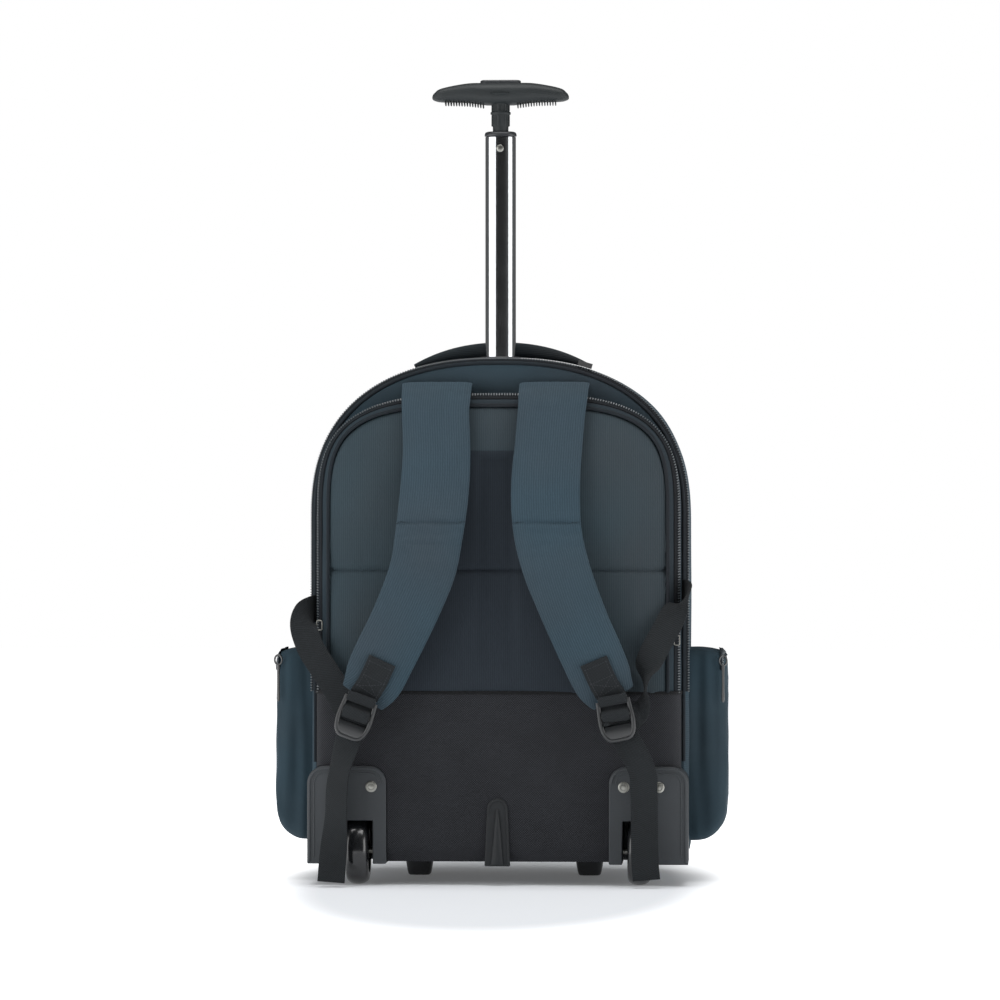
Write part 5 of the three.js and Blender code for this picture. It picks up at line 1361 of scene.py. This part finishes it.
strap_cloth = ribbed_cloth("strap_cloth", STRAP_TEAL, STRAP_SHADE, **strap_weave)
thread = ribbed_cloth("thread", (0.024, 0.034, 0.042), (0.014, 0.02, 0.025), crumple=0.0)


def strap_frames(label, steps=16):
    """A strap's middle line with, at each point, its directions across and outwards and its half sizes."""
    points, sizes = [], []
    for down, back, out, left, right, wide, thick in STRAP_ROWS:
        x = -left if label == "left" else right
        y = PANEL_PLANE + back * STRAP_SEAM_BACK - out * STRAP_STAND_OFF
        points.append(Vector((x * STRAP_SPREAD, y, STRAP_SEAM - down * STRAP_DROP)))
        sizes.append(Vector((wide * STRAP_WIDTH / 2, thick * STRAP_THICKNESS / 2)))
    line = smooth_line(points, steps)
    frames = []
    for i, (point, size) in enumerate(zip(line, smooth_line(sizes, steps))):
        along = (line[min(i + 1, len(line) - 1)] - line[max(i - 1, 0)]).normalized()
        across = (Vector((1, 0, 0)) - along * along.x).normalized()
        frames.append((point, across, along.cross(across).normalized(), size))
    return frames


def puffed(mesh, held, limit):
    """Cloth inflated between the held vertices by a light pressure, with no vertex moved past the limit."""
    before = [vertex.co.copy() for vertex in mesh.vertices]
    pad = bpy.data.objects.new("pad", mesh)
    bpy.context.collection.objects.link(pad)
    pins = pad.vertex_groups.new(name="held")
    pins.add(held, 1.0, "REPLACE")
    cloth = pad.modifiers.new("cloth", "CLOTH")
    cloth.settings.use_pressure = True
    cloth.settings.uniform_pressure_force = 4.0
    cloth.settings.vertex_group_mass = "held"
    cloth.settings.effector_weights.gravity = 0
    cloth.settings.quality = 4
    for number in range(1, 21):
        bpy.context.scene.frame_set(number)
    view_layer = bpy.context.evaluated_depsgraph_get()
    moved = bpy.data.meshes.new_from_object(pad.evaluated_get(view_layer))
    for vertex, start in zip(moved.vertices, before):
        shift = vertex.co - start
        if shift.length > limit:
            vertex.co = start + shift.normalized() * limit
    bpy.data.objects.remove(pad)
    bpy.context.scene.frame_set(1)
    return moved


strap_lines = {}
for label in ("left", "right"):
    frames = strap_frames(label)
    strap_lines[label] = frames
    profile = oval(2, 2, 28, 2.6)
    rings = []
    for point, across, out, size in frames:
        free = point.y < PANEL_PLANE
        ring = []
        for a, b in profile:
            spot = point + across * (a * (size.x - 0.0006))
            crease = math.exp(-(((spot.z - CREASE_HEIGHT) / CREASE_WIDTH) ** 2)) if free else 0
            under = ramp((CREASE_HEIGHT - spot.z) / 0.004) * ramp((spot.z - CREASE_HEIGHT + 0.05) / 0.03)
            pucker = 0.0021 * under * noise.noise(Vector((a * 2.2, b, spot.z * 130)))
            slack = 0.0009 * noise.noise(Vector((a * 1.5, b + 7, spot.z * 30)))
            for drop, slope, depth in STRAP_PUCKERS[label] if free and b > 0 else ():
                height = CREASE_HEIGHT - drop + slope * a * size.x
                weight = ramp(0.6 + noise.noise(Vector((a * 1.6, drop * 900, 3))))
                slack -= depth * weight * math.exp(-(((spot.z - height) / PUCKER_WIDTH) ** 2))
            thick = b * (size.y - SWELL_LIMIT * 0.35) * (1 - 0.6 * crease)
            ring.append(spot + out * (thick + (pucker + slack) * (1 - crease)))
        rings.append(ring)
    mesh = skinned("strap", rings, capped=True)
    held = []
    for number, ring in enumerate(rings):
        end = number < 32 or number > len(rings) - 4
        for k, spot in enumerate(ring):
            if end or abs(spot.z - CREASE_HEIGHT) < 0.0018 or abs(profile[k][0]) > 0.93:
                held.append(number * len(profile) + k)
    mesh = puffed(mesh, held, SWELL_LIMIT)
    mesh.name = f"strap_pad_{label}"
    pad = piece(mesh.name, mesh, strap_cloth, "bag", [f"shoulder_strap_{label}"])
    finer = pad.modifiers.new("finer", "SUBSURF")
    finer.levels = finer.render_levels = 1
    seam_line, seam_up = [], []
    for t in range(-12, 13):
        share = 0.94 * t / 12
        free = [frame for frame in frames if frame[0].y < PANEL_PLANE]
        point, across, out, size = min(
            free, key=lambda frame: abs(frame[0].z + frame[1].z * share * frame[3].x - CREASE_HEIGHT))
        seam_line.append(point + across * (size.x * share) + out * (size.y * 0.36 + 0.0002))
        seam_up.append(out)
    stitch = bar_item(0.0026, 0.0006, 0.0006)
    stitches = repeated(f"crease_stitches_{label}", [seam_line], [seam_up], stitch, 0.0034, thread)
    piece(stitches.name, stitches, thread, "bag")

# Tabs, ladder locks and webbing: a box-stitched webbing tab at each strap's foot holds a black ladder lock.
# The lower webbing comes from the bag's side seam, through the lock, and hangs down as a free end with a hem.
TAB_SPAN = (0.878, 0.986)
TAB_HALF = 0.01385
WEBBING_WIDTH = 0.0265
WEBBING_THICKNESS = 0.0016
BUCKLE_HALF = 0.018
BUCKLE_TALL = 0.042
BUCKLE_THICK = 0.0045
BUCKLE_LEAN = {"left": 20, "right": -11}
LOWER_WEBBING = {
    "left": [
        ((-178.8, 24, 268), (0, 0, 1)), ((-182.5, 14, 267), (-0.1, 0, 1)),
        ((-188, 3, 262), (-0.5, 0.05, 0.85)), ((-188, -7, 250), (-0.93, 0, 0.36)),
        ((-180.5, -12, 230), (-0.95, 0, -0.3)),
        ((-167, -14, 209), (-0.87, 0, -0.49)), ((-155, -15, 190), (-0.83, 0, -0.56)),
        ((-146, -20, 174), (-0.83, 0, -0.56)), ((-140, -26, 166), (-0.83, 0, -0.56)),
        ((-136, -29.9, 159), (-0.83, 0, -0.56)),
    ],
    "right": [
        ((178.8, 24, 284), (0, 0, 1)), ((182.5, 13, 283), (0.1, -0.1, 1)), ((184, 3, 281), (0.3, -0.3, 0.85)),
        ((179.5, -7, 276), (0.6, -0.4, 0.6)), ((172, -11, 266), (0.9, -0.3, -0.1)),
        ((164, -14, 250), (0.8, -0.1, -0.6)), ((154, -16, 232), (0.82, 0, -0.57)),
        ((146.5, -18, 216), (0.8, -0.35, -0.4)), ((144, -19, 202), (0.3, -0.95, -0.1)),
        ((143.5, -19, 189), (0.1, -1, 0)), ((140, -22, 178), (0.5, -0.7, -0.1)),
        ((134, -26, 170), (0.9, -0.1, -0.55)), ((127, -29.9, 162), (0.75, 0, -0.66)),
    ],
}
FREE_END = {
    "left": [
        ((-143.5, -29.9, 147), (0.946, 0, -0.324)), ((-150, -28, 118), (0.78, -0.6, -0.15)),
        ((-153.8, -27, 96), (0.82, -0.57, 0)), ((-155, -27, 64), (0.85, -0.5, 0)),
        ((-158, -28, 26), (1, 0, 0.05)), ((-159.5, -29, 5), (1, 0, 0.02)),
    ],
    "right": [
        ((126, -29.9, 145), (0.985, 0, 0.17)), ((139.5, -28, 117), (1, 0, 0.05)),
        ((142.5, -27, 92), (0.96, 0.2, 0)), ((143, -27, 60), (0.96, 0.2, 0)),
        ((143.5, -27.5, 27), (1, 0, 0.1)), ((145, -28, 8), (0.96, 0, 0.28)),
    ],
}


def ribbon(name, rows, width=WEBBING_WIDTH, thickness=WEBBING_THICKNESS, steps=8, hem=0.0):
    """Flat webbing through (place, direction across) rows, with a turned hem at its end if asked."""
    line = smooth_line([Vector(place) for place, _ in rows], steps)
    across = smooth_line([Vector(direction).normalized() for _, direction in rows], steps)
    left = running(line)
    sizes = []
    for length in left:
        turned_end = 1.9 if hem and left[-1] - length < hem else 1.0
        sizes.append((1.0, turned_end))
    return swept(name, line, across, oval(width, thickness, 20, 7), sizes=sizes)


def in_source(rows):
    """Rows of millimetres from the back panel's plane, in the scene's metres."""
    return [(Vector(place) / 1000 + Vector((0, PANEL_PLANE, 0)), across) for place, across in rows]


locks = plastic("lock_plastic", (0.012, 0.0135, 0.015), 0.34, coat=0.3)
# The box stitches are black thread; their colour, lighter than the webbing's, is a painted highlight on their
# gloss.
black_thread = ribbed_cloth("black_thread", (0.05, 0.056, 0.062), (0.03, 0.034, 0.038), crumple=0.0)
for label in ("left", "right"):
    frames = strap_lines[label]
    rows, ways = [], []
    for point, across, out, size in frames:
        down = (STRAP_SEAM - point.z) / STRAP_DROP
        if TAB_SPAN[0] - 0.01 <= down <= TAB_SPAN[1] + 0.002:
            rows.append((point + out * (size.y + 0.0012), across))
            ways.append(out)
    face_rows = list(rows)

    def on_tab(u, v):
        """A spot on the tab's face, u across it and v down it, with the way that it faces."""
        at = v * (len(face_rows) - 1.001)
        number, rest = int(at), at - int(at)
        (point, across), (below, _) = face_rows[number], face_rows[number + 1]
        return point.lerp(below, rest) + across * (u * TAB_HALF) + ways[number] * 0.001, ways[number]

    lean = math.radians(BUCKLE_LEAN[label])
    turn = Matrix.Rotation(lean, 3, "Y")
    hull = [(0.94 * BUCKLE_HALF, 0), (BUCKLE_HALF, -0.65 * BUCKLE_TALL), (0.4 * BUCKLE_HALF, -BUCKLE_TALL)]
    spots = [turn @ Vector((s * x, 0, z)) for x, z in hull for s in (-1, 1)]
    low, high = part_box(f"ladder_lock_{label}")
    hook = Vector((low.x - min(p.x for p in spots), (low.y + high.y) / 2, high.z - max(p.z for p in spots)))

    def local(x, y, z):
        return hook + turn @ Vector((x, y, z))

    flat = turn @ Vector((1, 0, 0))
    loop = [(0, 0.0034, -0.001), (0, 0.0034, -0.0052), (0, 0.0012, -0.0072), (0, -0.002, -0.0066),
            (0, -0.0034, -0.003), (0, -0.0036, 0.002)]
    rows += [(local(*spot), flat) for spot in loop[:2]]
    tab = ribbon(f"tab_{label}", rows, 2 * TAB_HALF, steps=3)
    piece(tab.name, tab, webbing, "bag", [f"strap_tab_{label}"])
    wrap = ribbon(f"tab_loop_{label}", [(local(*spot), flat) for spot in loop[1:]], 2 * TAB_HALF, steps=4)
    piece(wrap.name, wrap, webbing, "bag")

    rail = [
        (0.92, -0.003), (0.99, -0.5 * BUCKLE_TALL), (0.97, -0.68 * BUCKLE_TALL), (0.84, -0.86 * BUCKLE_TALL),
        (0.55, -0.97 * BUCKLE_TALL), (0.0, -BUCKLE_TALL + 0.0006),
    ]
    reach = BUCKLE_HALF - 0.0021
    right = smooth_line([Vector((x * reach, z)) for x, z in rail], 6)
    loop_line = [*[Vector((-p.x, p.y)) for p in right], *reversed(right[:-1])]
    path = [local(p.x, 0, p.y) for p in loop_line]
    square = turn @ Vector((0, 1, 0))
    body = [swept("rail", path, square, oval(BUCKLE_THICK, 0.0044, 14, 3.2))]
    for z, tall, share in ((-0.0027, 0.005, 0.9), (-0.0172, 0.005, 0.96), (-0.0345, 0.0145, 0.8)):
        ends = [local(side * share * reach, 0, z) for side in (-1, -0.3, 0.3, 1)]
        body.append(swept("bar", ends, square, oval(BUCKLE_THICK * 0.88, tall, 14, 3.2)))
    joined = bmesh.new()
    for part in body:
        joined.from_mesh(part)
    lock = bpy.data.meshes.new(f"lock_{label}")
    joined.to_mesh(lock)
    joined.free()
    piece(lock.name, lock, locks, "bag", [f"ladder_lock_{label}"])

    lower = ribbon(f"lower_strap_{label}", in_source(LOWER_WEBBING[label]))
    piece(lower.name, lower, webbing, "bag", [f"lower_webbing_{label}"])
    threading = [(0, 0.0036, -0.0085), (0, 0.0006, -0.0118), (0, -0.0036, -0.0145), (0, -0.0038, -0.0195),
                 (0, 0.0, -0.0235), (0, 0.0036, -0.0275)]
    rows = [(local(*spot), flat) for spot in threading] + in_source(FREE_END[label])[1:]
    free = ribbon(f"free_strap_{label}", rows, hem=0.009)
    piece(free.name, free, webbing, "bag", [f"free_end_{label}"])
    corners = {"a": (-0.78, 0.1), "b": (0.78, 0.1), "c": (0.78, 0.78), "d": (-0.78, 0.78), "e": (-0.78, 0.42),
               "f": (0.78, 0.42)}
    seams, faces = [], []
    for start, end in ("ab", "bc", "cd", "da", "ef", "ec", "fd"):
        (u, v), (w, t) = corners[start], corners[end]
        spots = [on_tab(u + (w - u) * k / 12, v + (t - v) * k / 12) for k in range(13)]
        seams.append([spot for spot, _ in spots])
        faces.append([away for _, away in spots])
    stitch = bar_item(0.0021, 0.0006, 0.0005)
    sewn = repeated(f"tab_stitches_{label}", seams, faces, stitch, 0.0027, black_thread)
    piece(sewn.name, sewn, black_thread, "bag")

# Zip pullers: nearly square nickel rings on the laptop zip, dark wire rings with a slim tab on the pockets,
# and the main zip's dark slider.
RING_WIDE = 0.0036
RING_HIGH = 0.0048
RING_SHIFT = 0.002
WIRE = 0.0018
GUNMETAL = (0.12, 0.12, 0.12)
gunmetal = metal("gunmetal", GUNMETAL, 0.36)


def puller(name, place, half_width, half_height, wire, squareness=2.0, tab=0.0):
    """A wire ring, round or nearly square, with a slim tab that hangs from it if asked."""
    outline = oval(2 * half_width, 2 * half_height, 40, squareness)
    ring = [place + Vector((x, 0, z)) for x, z in outline]
    joined = bmesh.new()
    joined.from_mesh(swept("ring", ring, (0, 1, 0), oval(wire, wire, 10), wrapped=True))
    if tab:
        top = place - Vector((0, 0, half_height))
        line = [top - Vector((0, 0, tab * t)) for t in (0, 0.06, 0.2, 0.6, 0.94, 1.0)]
        widths = [(1, 0.7), (1, 1), (1, 0.8), (1, 0.8), (1, 1.0), (1, 0.5)]
        joined.from_mesh(swept("tab", line, (0, 1, 0), oval(0.0016, 0.0034, 12, 3), sizes=widths))
    mesh = bpy.data.meshes.new(name)
    joined.to_mesh(mesh)
    joined.free()
    return mesh


for label in ("left", "right"):
    low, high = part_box(f"pocket_puller_{label}")
    shift = RING_SHIFT if label == "right" else -RING_SHIFT
    ring_at = Vector(((low.x + high.x) / 2 + shift, (low.y + high.y) / 2, high.z - RING_HIGH - WIRE))
    drop = ring_at.z - RING_HIGH - WIRE - low.z
    pocket_puller = puller(f"pocket_pull_{label}", ring_at, RING_WIDE, RING_HIGH, WIRE, tab=drop)
    piece(pocket_puller.name, pocket_puller, gunmetal, "bag", [f"pocket_puller_{label}"])
    low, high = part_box(f"laptop_puller_{label}")
    ring_at = (low + high) / 2
    laptop_puller = puller(f"laptop_pull_{label}", ring_at, 0.0026, 0.0046, 0.0012, 6.0)
    piece(laptop_puller.name, laptop_puller, nickel, "bag", [f"laptop_puller_{label}"])
frame_slider = bpy.data.objects["main_puller"]
frame_slider.data.materials.clear()
frame_slider.data.materials.append(gunmetal.material)

size = {"cad": [list(corner) for corner in cad_box], "visual": [list(corner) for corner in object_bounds()]}
